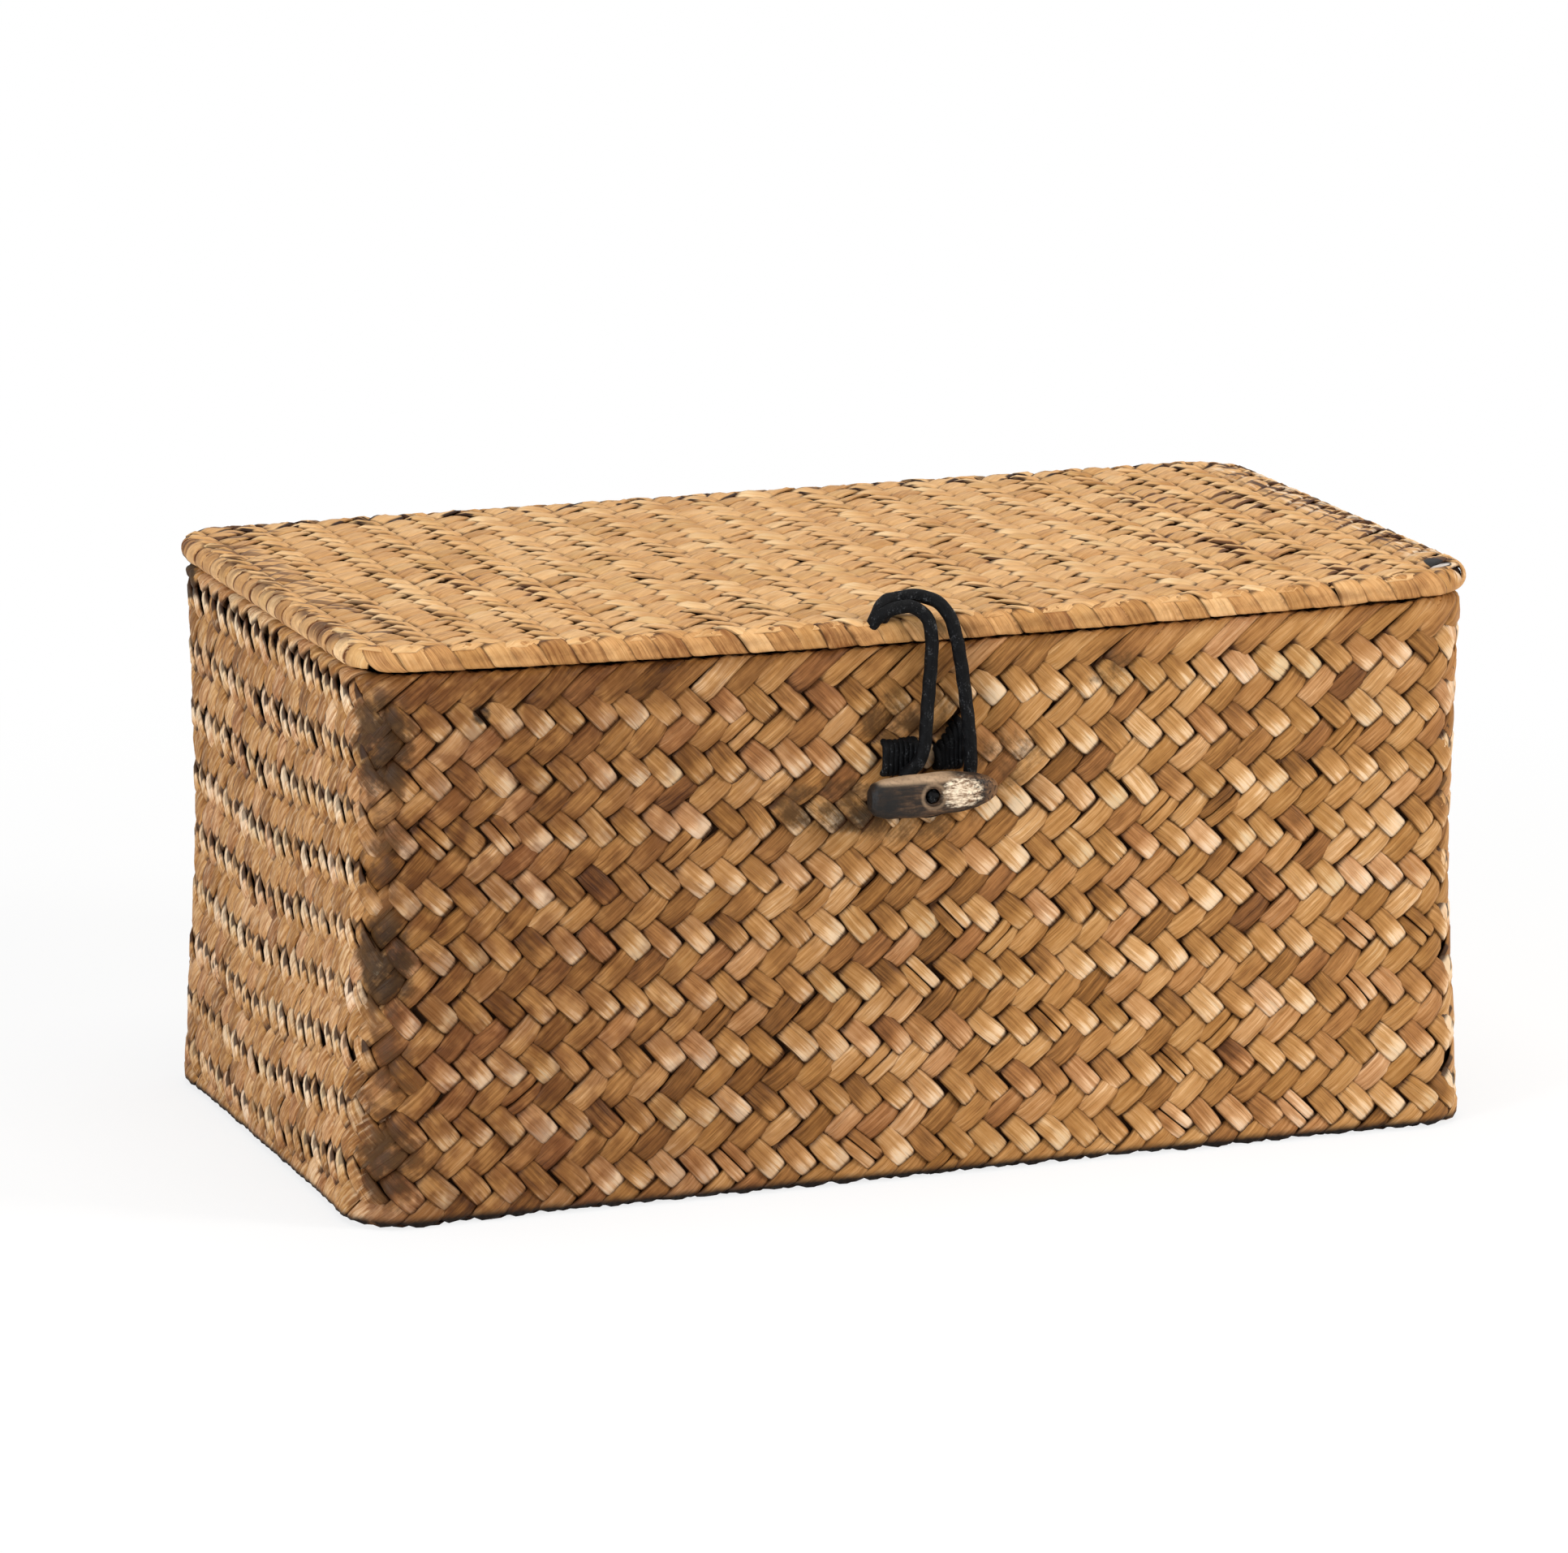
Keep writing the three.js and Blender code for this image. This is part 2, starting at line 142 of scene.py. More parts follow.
class Recipe:
    """One material and the nodes that make it."""

    def __init__(self, name):
        self.material = bpy.data.materials.new(name)
        self.material.use_nodes = True
        self.nodes = self.material.node_tree.nodes
        self.links = self.material.node_tree.links
        self.shader = self.nodes["Principled BSDF"]

    def feed(self, socket, value):
        if isinstance(value, Sock):
            self.links.new(value.socket, socket)
        else:
            socket.default_value = value

    def node(self, kind, settings=None, values=None, output=0):
        """A node of that type with its settings made first, and values or links on its sockets."""
        made = self.nodes.new(kind)
        for name, value in (settings or {}).items():
            if name == "stops":
                self.set_stops(made.color_ramp, value)
            else:
                setattr(made, name, value)
        pairs = enumerate(values or []) if isinstance(values, (list, tuple)) else (values or {}).items()
        for key, value in pairs:
            self.feed(made.inputs[key], value)
        return Sock(self, made.outputs[output])

    @staticmethod
    def set_stops(color_ramp, stops):
        while len(color_ramp.elements) < len(stops):
            color_ramp.elements.new(1.0)
        for element, (place, colour) in zip(color_ramp.elements, stops):
            element.position = place
            element.color = colour

    def ramp(self, value, stops):
        return self.node("ShaderNodeValToRGB", {"stops": stops}, [value])

    def mix(self, share, first, second, blend="MIX"):
        settings = {"data_type": "RGBA", "blend_type": blend}
        return self.node("ShaderNodeMix", settings, {0: share, 6: first, 7: second}, 2)

    def mark(self, name):
        """A number that the mesh carries at each point."""
        return self.node("ShaderNodeAttribute", {"attribute_name": name}, None, 2)

    def places(self):
        """The object coordinates as x, y and z."""
        vector = self.node("ShaderNodeTexCoord", None, None, 3)
        split = self.node("ShaderNodeSeparateXYZ", None, [vector])
        return [Sock(self, split.socket.node.outputs[i]) for i in range(3)]

    def vector(self, x, y, z):
        return self.node("ShaderNodeCombineXYZ", None, [x, y, z])

    def noise(self, vector, scale, detail=2.0, roughness=0.5):
        values = {"Vector": vector, "Scale": scale, "Detail": detail, "Roughness": roughness}
        return self.node("ShaderNodeTexNoise", None, values)

    def bump(self, height, strength, distance):
        values = {"Strength": strength, "Distance": distance, "Height": height}
        return self.node("ShaderNodeBump", None, values)

    def finish(self, **values):
        """Sets the shader's sockets, with underscores for the spaces in their names."""
        for name, value in values.items():
            self.feed(self.shader.inputs[name.replace("_", " ")], value)
        return self.material


def in_patch(places, middle, reach):
    """1 at the middle of a soft ellipsoid patch, falling to 0 at its reach."""
    total = 0.0
    for place, centre, size in zip(places, middle, reach):
        total = ((place - centre) / size).power(2.0) + total
    return 1.0 - total.smooth(0.15, 1.0)


# Dark patches on the walls, stains mixed with painted shade and shadows: x, y, z and reach along each in mm,
# and how dark
WALL_STAINS_AND_SHADE = [
    # Down the front left corner: stains, with painted shade where the light falls off round the corner
    (-110, -60, 93, 11, 12, 13, 1.1),
    (-108.5, -60, 74, 9, 12, 12, 0.35),
    (-109.5, -60, 51, 10, 12, 12, 1.1),
    (-108.5, -60, 29, 9, 12, 12, 0.35),
    (-106, -60, 12, 11, 12, 10, 0.8),
    (-111.5, -61, 52, 10, 8, 85, 0.5),
    # Round the toggle and the loop's strands: painted shadows of the toggle and cords, mixed with stain
    (-20, -61, 74.5, 18, 12, 7, 1.1),
    (16, -61, 81, 12, 12, 8, 0.8),
    (-9, -61, 90.5, 8, 12, 8, 1.1),
    (1, -61, 88, 7, 12, 11, 0.9),
    (-4, -61, 70, 18, 12, 6, 0.8),
    (37, -60.5, 96.5, 8, 12, 7, 0.8),
    # Painted shade in a small gap in the weave
    (-90, -60.5, 97.4, 2.6, 12, 2.6, 1.7),
    # Painted shade under the lid's edge at the back left corner
    (-113, 54, 103, 7, 11, 5, 2.6),
]
# Places where painted shade darkens the gaps between the lid's strips, given in the same way
LID_GAPS = [
    (-74.5, -6.6, 111.4, 5, 10, 4, 1.2),
    (-64, -17.8, 111.4, 7, 9, 4, 1.0),
    (81.2, 25, 111.4, 6, 18, 4, 1.3),
    (77.4, -22, 111.4, 7, 11, 4, 1.3),
    (97, 18.6, 111.4, 6, 18, 4, 1.3),
    (90, -50, 111.4, 8, 8, 4, 1.3),
    (30.5, -19.2, 111.4, 5, 6, 4, 1.0),
    (-100, -30, 111.4, 6, 30, 4, 0.6),
    (-88, -10, 111.4, 5, 50, 4, 0.4),
    (-106, 10, 111.4, 5, 45, 4, 0.6),
    (69, -10.8, 111.4, 5, 8, 4, 1.0),
    (109, 0, 111.4, 6, 60, 4, 1.0),
]
# Where dark lines cross the lid's left border
BORDER_MARKS = [
    (-108, -38, 111, 10, 22, 6, 1.0),
    (-106, 56, 111, 16, 14, 6, 1.0),
    (-109, 10, 111, 8, 65, 6, 0.7),
]
# Single marks on the lid, middle and reach in metres: a hole beside its front right corner painted dark with
# shade, the pale strand that crosses it, and painted shade at its back left corner
CORNER_HOLE = ((0.1085, -0.0530, 0.1114), (0.0026, 0.0056, 0.004))
CORNER_STRAND = ((0.1078, -0.0555, 0.1114), (0.0024, 0.0019, 0.004))
CORNER_SHADE = ((-0.1150, 0.0570, 0.1066), (0.005, 0.013, 0.0024))

# Where a finish changes on the walls, in metres, from one side of the change to the other
SHADED_SIDE_X = (-0.115, 0.045)
FRONT_WALL_Y = (-0.059, -0.050)
LEFT_WALL_X = (-0.1125, -0.1105)
RIM_SLIT_SHADE_FROM_Z = (0.1000, 0.1012)
RIM_SLIT_SHADE_TO_Z = (0.1030, 0.1045)
CONTACT_SHADOW_Z = (0.0010, 0.0028)
BOTTOM_EDGE_X = (0.1110, 0.1125)
BOTTOM_EDGE_Y = (0.0580, 0.0595)
# And on the lid
LID_FRONT_Y = (-0.0625, -0.0613)
LID_LEFT_X = (-0.1135, -0.1120)
LID_RIGHT_X = (0.1050, 0.1085)
LID_RIGHT_Z = (0.1082, 0.1102)
LID_BACK_Y = (0.0525, 0.0555)
LID_BACK_Z = (0.1095, 0.1105)


def patches(places, spots):
    """The sum of some soft patches, each as strong as it is dark."""
    total = 0.0
    for *spot, amount in spots:
        numbers = [number * MM for number in spot]
        total = in_patch(places, numbers[:3], numbers[3:]) * amount + total
    return total


def wall_stains_and_shade(recipe, colour, places, edge):
    """The walls' stains and painted shade.

    A left half of the front darkened with painted shade, fine fibres and rim slits of painted shade on the
    left wall, brown stains mixed with painted shade and shadows, and a painted contact shadow along the
    ground that stops at the bottom edge.
    """
    x, y, z = places
    spot = recipe.vector(x, y, z)
    # Painted shade darkens the left half of the front, in blotches.
    shaded = (1.0 - x.smooth(*SHADED_SIDE_X)) * (1.0 - y.smooth(*FRONT_WALL_Y))
    uneven = recipe.noise(spot, 230.0, 2.0, 0.5).smooth(0.36, 0.6)
    colour = recipe.mix(shaded * (uneven * 0.6 + 0.5), colour, srgb(178, 162, 152), "MULTIPLY")
    left = 1.0 - x.smooth(*LEFT_WALL_X)
    fibres = recipe.noise(recipe.vector((z - y) * 130.0, (z + y) * 900.0, 5.0), 1.0, 2.0, 0.6)
    colour = recipe.mix(left * fibres.smooth(0.5, 0.62) * 0.55, colour, srgb(186, 150, 118), "MULTIPLY")
    colour = recipe.mix(left * (1.0 - fibres.smooth(0.36, 0.47)) * 0.32, colour, srgb(224, 194, 158))
    # Painted shade in the slits between strips just under the rim on the left wall.
    rim_slit_shade = left * z.smooth(*RIM_SLIT_SHADE_FROM_Z) * (1.0 - z.smooth(*RIM_SLIT_SHADE_TO_Z))
    colour = recipe.mix(rim_slit_shade * edge.smooth(0.52, 0.84) * 0.8, colour, srgb(46, 28, 17))
    # Brown stains, some of them painted shadows of the toggle and cords and painted shade at the corners.
    stain_and_shade = patches(places, WALL_STAINS_AND_SHADE)
    mottle = recipe.noise(spot, 230.0, 4.0, 0.7)
    stain_and_shade = stain_and_shade + (mottle - 0.58) * 3.2 * stain_and_shade.smooth(0.0, 0.4)
    brown = recipe.mix(mottle.smooth(0.35, 0.7), srgb(8, 6, 4), srgb(80, 54, 27))
    colour = recipe.mix(stain_and_shade.smooth(0.1, 1.35) * 0.95, colour, brown)
    # Painted contact shadow: a dark line along the ground, kept to the outer bottom edge.
    outermost = x.size().smooth(*BOTTOM_EDGE_X).largest(y.size().smooth(*BOTTOM_EDGE_Y))
    return recipe.mix((1.0 - z.smooth(*CONTACT_SHADOW_Z)) * outermost, colour, srgb(26, 17, 10))


def lid_marks_and_shade(recipe, colour, places, edge):
    """The lid's marks and painted shade.

    Painted shade in the gaps between some strips and in the front and left border's seams, a browned front
    and left border, dashes and bits of painted shade on the right and at the back, dark lines across the
    left border, and a few single marks near the corners, one of them a hole painted dark with shade.
    """
    x, y, z = places
    # Painted shade in the gaps between some strips.
    gaps = patches(places, LID_GAPS) * edge.smooth(0.5, 0.85)
    colour = recipe.mix(gaps.smooth(0.1, 0.9) * 0.9, colour, srgb(78, 42, 18))
    front = 1.0 - y.smooth(*LID_FRONT_Y)
    left = 1.0 - x.smooth(*LID_LEFT_X)
    marks = recipe.noise(recipe.vector(x * 300.0, y * 300.0, z * 420.0), 1.0, 3.0, 0.65)
    browned = (front + left * 0.4) * marks.smooth(0.3, 0.66)
    colour = recipe.mix(browned, colour, srgb(158, 139, 124), "MULTIPLY")
    # Painted shade along the wraps' edges, in the front and left border's seams.
    seams = (front + left) * edge.smooth(0.62, 0.88) * marks.smooth(0.38, 0.5)
    colour = recipe.mix(seams, colour, srgb(104, 58, 24))
    # Painted shade in dark dashes between the right border's wraps, with pale strands between them.
    dashes = recipe.noise(recipe.vector(x * 520.0 + y * 120.0, y * 130.0, 3.0), 1.0, 1.5, 0.5)
    right = x.smooth(*LID_RIGHT_X) * z.smooth(*LID_RIGHT_Z)
    colour = recipe.mix(dashes.smooth(0.53, 0.58) * right * 0.92, colour, srgb(52, 25, 11))
    colour = recipe.mix((1.0 - dashes.smooth(0.38, 0.44)) * right * 0.7, colour, srgb(240, 216, 186))
    # Painted shade in dark bits between the back border's wraps.
    bits = recipe.noise(recipe.vector(x * 120.0, y * 200.0, 9.0), 1.0, 1.0, 0.5).smooth(0.46, 0.52)
    back = y.smooth(*LID_BACK_Y) * z.smooth(*LID_BACK_Z)
    colour = recipe.mix(bits * back * edge.smooth(0.55, 0.8), colour, srgb(34, 18, 10))
    lines = recipe.noise(recipe.vector(y * 420.0 + x * 160.0, x * 90.0, 5.0), 1.0, 1.5, 0.5)
    crossed = patches(places, BORDER_MARKS).smooth(0.1, 0.9)
    colour = recipe.mix(crossed * lines.smooth(0.50, 0.56) * 0.85, colour, srgb(70, 35, 16))
    corner = in_patch(places, *CORNER_SHADE).smooth(0.1, 0.6)
    colour = recipe.mix(corner * 0.9, colour, srgb(34, 22, 16))
    # Painted shade in the hole beside the front right corner.
    hole = in_patch(places, *CORNER_HOLE).smooth(0.2, 0.5)
    colour = recipe.mix(hole, colour, srgb(12, 8, 6))
    strand = in_patch(places, *CORNER_STRAND).smooth(0.1, 0.4)
    return recipe.mix(strand, colour, srgb(214, 204, 196))


def straw(name, tones, blush, extra=None, relief=1.0, seams=1.0):
    """Dried grass strips: tones from dark to pale, fine fibres along each strip and soft blotches.

    A slit above 0 paints shade on the wall under a strip's start, and one below 0 on the places beside it.
    """
    recipe = Recipe(name)
    tone = recipe.mark("tone")
    warmth = recipe.mark("warmth")
    along = recipe.mark("along_mm")
    across = recipe.mark("across_mm")
    edge = recipe.mark("edge")
    end = recipe.mark("end")
    glow = recipe.mark("glow")
    slit = recipe.mark("slit")
    x, y, z = recipe.places()
    spread = tone * 37.0 + warmth * 91.0
    fibres = recipe.noise(recipe.vector(along * 0.16, across * 2.6, spread), 1.6, 3.0, 0.6)
    streaks = recipe.noise(recipe.vector(along * 0.05, across * 0.9, spread + 7.0), 1.5, 2.0)
    blotches = recipe.noise(recipe.vector(x, y, z), 160.0, 3.0, 0.55)
    shade = tone + (fibres - 0.5) * 0.5 + (streaks - 0.5) * 0.6 + (blotches - 0.5) * 0.4
    # Painted highlight: the glow mark lightens the strips towards their pale ends.
    shade = shade + glow * (0.48 + (streaks - 0.5) * 0.5) * seams
    colour = recipe.ramp(shade, tones)
    colour = recipe.mix((warmth - 0.62) * 1.5, colour, recipe.ramp(shade, blush))
    colour = recipe.mix((0.35 - warmth) * 1.8, colour, srgb(222, 214, 188), "MULTIPLY")
    # Stains and marks, with painted shade and shadows, from the given function.
    if extra:
        colour = extra(recipe, colour, (x, y, z), edge)
    # Painted shade in the slits.
    under_end = (0.0 - along).smooth(-0.1, 0.5) * (across + along * 0.45).smooth(-0.3, 0.1)
    beside_end = (0.0 - along).smooth(1.7, 2.4) * across.size().smooth(0.9, 1.5)
    slit_shade = slit.smooth(0.0, 1.0) * under_end + (0.0 - slit).smooth(0.0, 1.0) * beside_end
    colour = recipe.mix(slit_shade * 0.92, colour, srgb(50, 30, 17))
    # Painted shade along the strips' edges, at their tucked ends and in creases.
    creases = recipe.noise(recipe.vector(along * 0.03, across * 1.3, spread + 19.0), 1.0, 1.0)
    crease = 1.0 - (creases - 0.5).size().smooth(0.0, 0.022)
    edge_shade = (edge.smooth(0.78, 1.0) * 0.8 + end.smooth(0.64, 0.92) * 1.0 + crease * 0.35) * seams
    colour = recipe.mix(edge_shade.smooth(0.0, 1.2), colour, srgb(58, 31, 11))
    height = fibres * 0.6 + streaks * 0.5 - crease * 0.8
    return recipe.finish(
        Base_Color=colour,
        Roughness=0.62 - fibres * 0.16,
        Normal=recipe.bump(height, 0.55, 0.00022 * relief),
        Specular_IOR_Level=0.13,
    )


def plain_core(name, colour):
    """The dark inside of the weave, seen only between strips."""
    recipe = Recipe(name)
    grain = recipe.noise(recipe.vector(*recipe.places()), 900.0, 3.0)
    shade = recipe.mix(grain, colour, srgb(20, 12, 6))
    return recipe.finish(Base_Color=shade, Roughness=0.9, Specular_IOR_Level=0.1)


def black_cord(name):
    """Waxed black cord: fine fibres that run round it at a slant, and grey fuzz on its crests, partly
    painted sheen.
    """
    recipe = Recipe(name)
    along = recipe.mark("along_mm")
    around = recipe.mark("around")
    lay = (along * 2.1 + around * 6.2832 * 3.0).wave()
    x, y, z = recipe.places()
    fuzz = recipe.noise(recipe.vector(x, y, z), 2600.0, 3.0, 0.65)
    worn = recipe.noise(recipe.vector(x, y, z), 420.0, 2.0)
    # Grey fuzz, partly a painted sheen on the black cord.
    fuzz_and_sheen = (fuzz + worn * 0.7 + lay * 0.05).smooth(0.92, 1.3)
    colour = recipe.mix(fuzz_and_sheen, srgb(5, 5, 6), srgb(86, 87, 88))
    return recipe.finish(
        Base_Color=colour,
        Roughness=0.55 + fuzz * 0.2,
        Normal=recipe.bump(lay * 0.35 + fuzz, 0.7, 0.00016),
        Specular_IOR_Level=0.1,
    )


# The pale chip on the toggle, also painted bright where a highlight falls, middle and reach in metres, and
# the pale ring round its eye
HORN_CHIP_AND_HIGHLIGHT = ((0.0019, -0.0716, 0.0778), (0.0056, 0.0060, 0.0040))
EYE_LEFT = 0.0041
EYE_UP = 0.0775
EYE_RIM_RADIUS = 0.0023
EYE_RIM_WIDTH = 0.0006
TOGGLE_FACE_Y = (-0.0705, -0.0690)


def horn(name):
    """Polished dark horn with streaks along it, a pale chip beside the eye painted in part as a highlight,
    and a pale top edge.
    """
    recipe = Recipe(name)
    x, y, z = recipe.places()
    streaks = recipe.noise(recipe.vector(x * 150.0, y * 900.0, z * 1100.0), 1.0, 4.0, 0.65)
    cloud = recipe.noise(recipe.vector(x, y, z), 330.0, 4.0, 0.65)
    stops = [
        (0.36, srgb(12, 9, 6)),
        (0.47, srgb(34, 24, 16)),
        (0.56, srgb(74, 54, 37)),
        (0.66, srgb(122, 92, 66)),
        (0.80, srgb(170, 138, 106)),
    ]
    colour = recipe.ramp(streaks * 0.65 + cloud * 0.38, stops)
    left = 1.0 - x.smooth(-0.0135, -0.0080)
    colour = recipe.mix(left * 0.85, colour, srgb(10, 9, 8))
    tip = x.smooth(0.0062, 0.0095)
    colour = recipe.mix(tip * (0.3 + streaks), colour, srgb(132, 94, 60))
    # A pale chip beside the eye, with a painted highlight.
    chip_and_highlight = in_patch((x, y, z), *HORN_CHIP_AND_HIGHLIGHT)
    rough = recipe.noise(recipe.vector(x * 420.0, y * 600.0, z * 1300.0), 1.0, 4.0, 0.75)
    bright_patch = (chip_and_highlight * 1.15 + (rough - 0.5) * 2.8).smooth(0.35, 1.3)
    pale = recipe.mix(rough.smooth(0.35, 0.62), srgb(146, 104, 68), srgb(240, 222, 194))
    colour = recipe.mix(bright_patch * chip_and_highlight.smooth(0.0, 0.3), colour, pale)
    ridge = z.smooth(0.0797, 0.0807) * (1.0 - x.smooth(-0.0020, 0.0020)) * x.smooth(-0.0152, -0.0140)
    colour = recipe.mix(ridge * (0.35 + rough * 0.8), colour, srgb(184, 154, 122))
    around = ((x + EYE_LEFT).power(2.0) + (z - EYE_UP).power(2.0)).power(0.5)
    ring = 1.0 - ((around - EYE_RIM_RADIUS) / EYE_RIM_WIDTH).size().smooth(0.0, 1.0)
    ring = ring * (1.0 - y.smooth(*TOGGLE_FACE_Y))
    colour = recipe.mix(ring * rough, colour, srgb(150, 124, 96))
    # Painted shade in small pits, which the bump also sinks.
    pits = recipe.noise(recipe.vector(x, y, z), 1300.0, 2.0, 0.7)
    hollow = (1.0 - pits.smooth(0.38, 0.48)) * (x.smooth(0.0015, 0.0060) * 0.8 + 0.2)
    colour = recipe.mix(hollow * 0.9, colour, srgb(20, 13, 8))
    return recipe.finish(
        Base_Color=colour,
        Roughness=0.48 + streaks * 0.2,
        Normal=recipe.bump(streaks * 0.5 + rough * 0.3 - hollow * 0.8, 0.7, 0.0003),
        Specular_IOR_Level=0.25,
    )


def floor_finish(name, colour):
    """White paper that stays white to the camera and takes a soft shadow near the box."""
    recipe = Recipe(name)
    x, y, _ = recipe.places()
    far = (x.power(2.0) + y.power(2.0)).power(0.5).smooth(0.16, 0.42)
    recipe.finish(Base_Color=colour, Roughness=0.9, Specular_IOR_Level=0.0)
    glow = recipe.node("ShaderNodeEmission", None, {"Color": colour, "Strength": 1.0})
    seen = recipe.node("ShaderNodeLightPath", None, None, 0)
    share = seen * (0.8 + far * 0.2)
    plain = Sock(recipe, recipe.shader.outputs[0])
    both = recipe.node("ShaderNodeMixShader", None, {0: share, 1: plain, 2: glow})
    recipe.links.new(both.socket, recipe.nodes["Material Output"].inputs["Surface"])
    return recipe.material


STRAW_TONES = [
    (0.00, srgb(80, 48, 20)),
    (0.25, srgb(138, 93, 47)),
    (0.45, srgb(172, 123, 69)),
    (0.65, srgb(196, 149, 96)),
    (0.80, srgb(222, 184, 140)),
    (1.00, srgb(232, 204, 168)),
]
STRAW_BLUSH = [
    (0.00, srgb(76, 42, 20)),
    (0.40, srgb(152, 97, 60)),
    (0.75, srgb(208, 160, 120)),
    (1.00, srgb(230, 197, 166)),
]
LID_TONES = [
    (0.00, srgb(138, 89, 48)),
    (0.28, srgb(194, 143, 88)),
    (0.58, srgb(220, 173, 118)),
    (1.00, srgb(240, 205, 156)),
]


# Places on the box

class Outline:
    """A rounded rectangle; u runs along it from the front's middle towards the right side."""

    def __init__(self, half_x, half_y, radius):
        self.half_x = half_x
        self.half_y = half_y
        self.radius = radius
        self.flat_x = half_x - radius
        self.flat_y = half_y - radius
        self.turn = radius * math.pi / 2
        self.length = 4 * (self.flat_x + self.flat_y + self.turn)
        self.spans = [2 * f + self.turn for f in (self.flat_x, self.flat_y, self.flat_x, self.flat_y)]

    def at(self, u):
        """The point at u and the direction that faces outwards there, as x, y, dx and dy."""
        rest = np.mod(u + self.flat_x, self.length)
        x, y, dx, dy = (np.zeros_like(rest) for _ in range(4))
        for quarter in range(4):
            sideways = quarter % 2
            run = 2 * (self.flat_y if sideways else self.flat_x)
            reach = self.half_x if sideways else self.half_y
            angle = quarter * math.pi / 2
            ahead = (math.cos(angle), math.sin(angle))
            outwards = (math.sin(angle), -math.cos(angle))
            flat = (rest >= 0) & (rest < run)
            step = rest[flat] - run / 2
            x[flat] = outwards[0] * reach + ahead[0] * step
            y[flat] = outwards[1] * reach + ahead[1] * step
            dx[flat], dy[flat] = outwards
            rest = rest - run
            bend = (rest >= 0) & (rest < self.turn)
            turned = angle - math.pi / 2 + rest[bend] / self.radius
            side_x = self.flat_x if quarter in (0, 1) else -self.flat_x
            side_y = self.flat_y if quarter in (1, 2) else -self.flat_y
            dx[bend], dy[bend] = np.cos(turned), np.sin(turned)
            x[bend] = side_x + self.radius * dx[bend]
            y[bend] = side_y + self.radius * dy[bend]
            rest = rest - self.turn
        return x, y, dx, dy

    def run_of(self, u):
        """Which side of the box u is on: 0 front, 1 right, 2 back and 3 left, split mid-corner."""
        rest = np.mod(u + self.flat_x + self.turn / 2, self.length)
        return np.searchsorted(np.cumsum(self.spans), rest, side="right").clip(0, 3)

    def run_ends(self, run):
        """Where that side starts and ends, mid-corner to mid-corner."""
        start = -self.flat_x - self.turn / 2 + sum(self.spans[:run])
        return start, start + self.spans[run]


RIM = Outline(HALF_LENGTH, HALF_DEPTH, CORNER_RADIUS)


def xyz(x, y, z):
    """Points from their places along each axis, any of which may be the same for all."""
    return np.stack(np.broadcast_arrays(x, y, z), axis=-1)


def ease(share):
    """0 up to 0, 1 from 1 on, and half a wave between them."""
    return (1 - np.cos(np.pi * np.clip(share, 0, 1))) / 2


def wall_offset(z):
    """How far the walls stand out of the rim's outline at a height."""
    low = ease((z - FOOT_HEIGHT) / (WAIST_HEIGHT - FOOT_HEIGHT))
    high = ease((z - WAIST_HEIGHT) / (BODY_HEIGHT - WAIST_HEIGHT))
    return FOOT_SWELL - low * (FOOT_SWELL + WAIST_DRAW) + high * WAIST_DRAW


# The bottom corners stand out a little more than the walls between them
EAR_SWELL = 1.0 * MM
EAR_REACH = 13 * MM
EAR_HEIGHT = 13 * MM


def corner_ears(u, z):
    """How far the bottom corners stand out of the walls there."""
    total = np.zeros_like(z)
    for run in range(4):
        middle = RIM.run_ends(run)[1]
        gap = np.mod(u - middle + RIM.length / 2, RIM.length) - RIM.length / 2
        total = total + np.exp(-((gap / EAR_REACH) ** 2))
    fall = (1 + np.cos(np.pi * np.clip(z / EAR_HEIGHT, 0, 1))) / 2
    return EAR_SWELL * total * fall


# The front wall's rim and the lid's front edge hang a little in their middle
RIM_SAG = 1.6 * MM
# Share of the walls' height from which all of it shows
SAG_FROM = 0.8


def sag(x, y, z):
    middle = np.clip(1 - (x / HALF_LENGTH) ** 2, 0, 1)
    front = np.clip(-y / HALF_DEPTH, 0, 1)
    return RIM_SAG * middle * front * np.clip(z / (BODY_HEIGHT * SAG_FROM), 0, 1)


# Share that is left of what would reach below the floor
PRESSED_SHARE = 0.1


def pressed(points):
    """Presses flat what would reach below the floor."""
    points[..., 2] = np.where(points[..., 2] < 0, points[..., 2] * PRESSED_SHARE, points[..., 2])
    return points


def beside_rim(u, offset, z):
    x, y, dx, dy = RIM.at(u)
    x, y = x + dx * offset, y + dy * offset
    return xyz(x, y, z - sag(x, y, z))


def outside_wall(u, b, out):
    """The outer face: b is the height, and below the bottom edge it runs on under the base."""
    below = np.maximum(0, BOTTOM_EDGE_RADIUS - b)
    angle = np.clip(below / BOTTOM_EDGE_RADIUS, 0, np.pi / 2)
    under = np.maximum(0, below - BOTTOM_EDGE_RADIUS * np.pi / 2)
    curl = BOTTOM_EDGE_RADIUS * (1 - np.cos(angle))
    height = np.where(below > 0, BOTTOM_EDGE_RADIUS * (1 - np.sin(angle)), b)
    offset = wall_offset(height) + corner_ears(u, height) - curl - under + out * np.cos(angle)
    return pressed(beside_rim(u, offset, height - out * np.sin(angle)))


def inside_wall(u, b, out):
    return beside_rim(u, wall_offset(b) - WALL_THICKNESS - out, b)


RIM_ROLL_WIDTH = 2.0 * MM
RIM_ROLL_HEIGHT = 1.9 * MM
RIM_ROLL_Z = BODY_HEIGHT - RIM_ROLL_HEIGHT
RIM_ROLL_ARC = math.pi * (RIM_ROLL_WIDTH + RIM_ROLL_HEIGHT) / 2


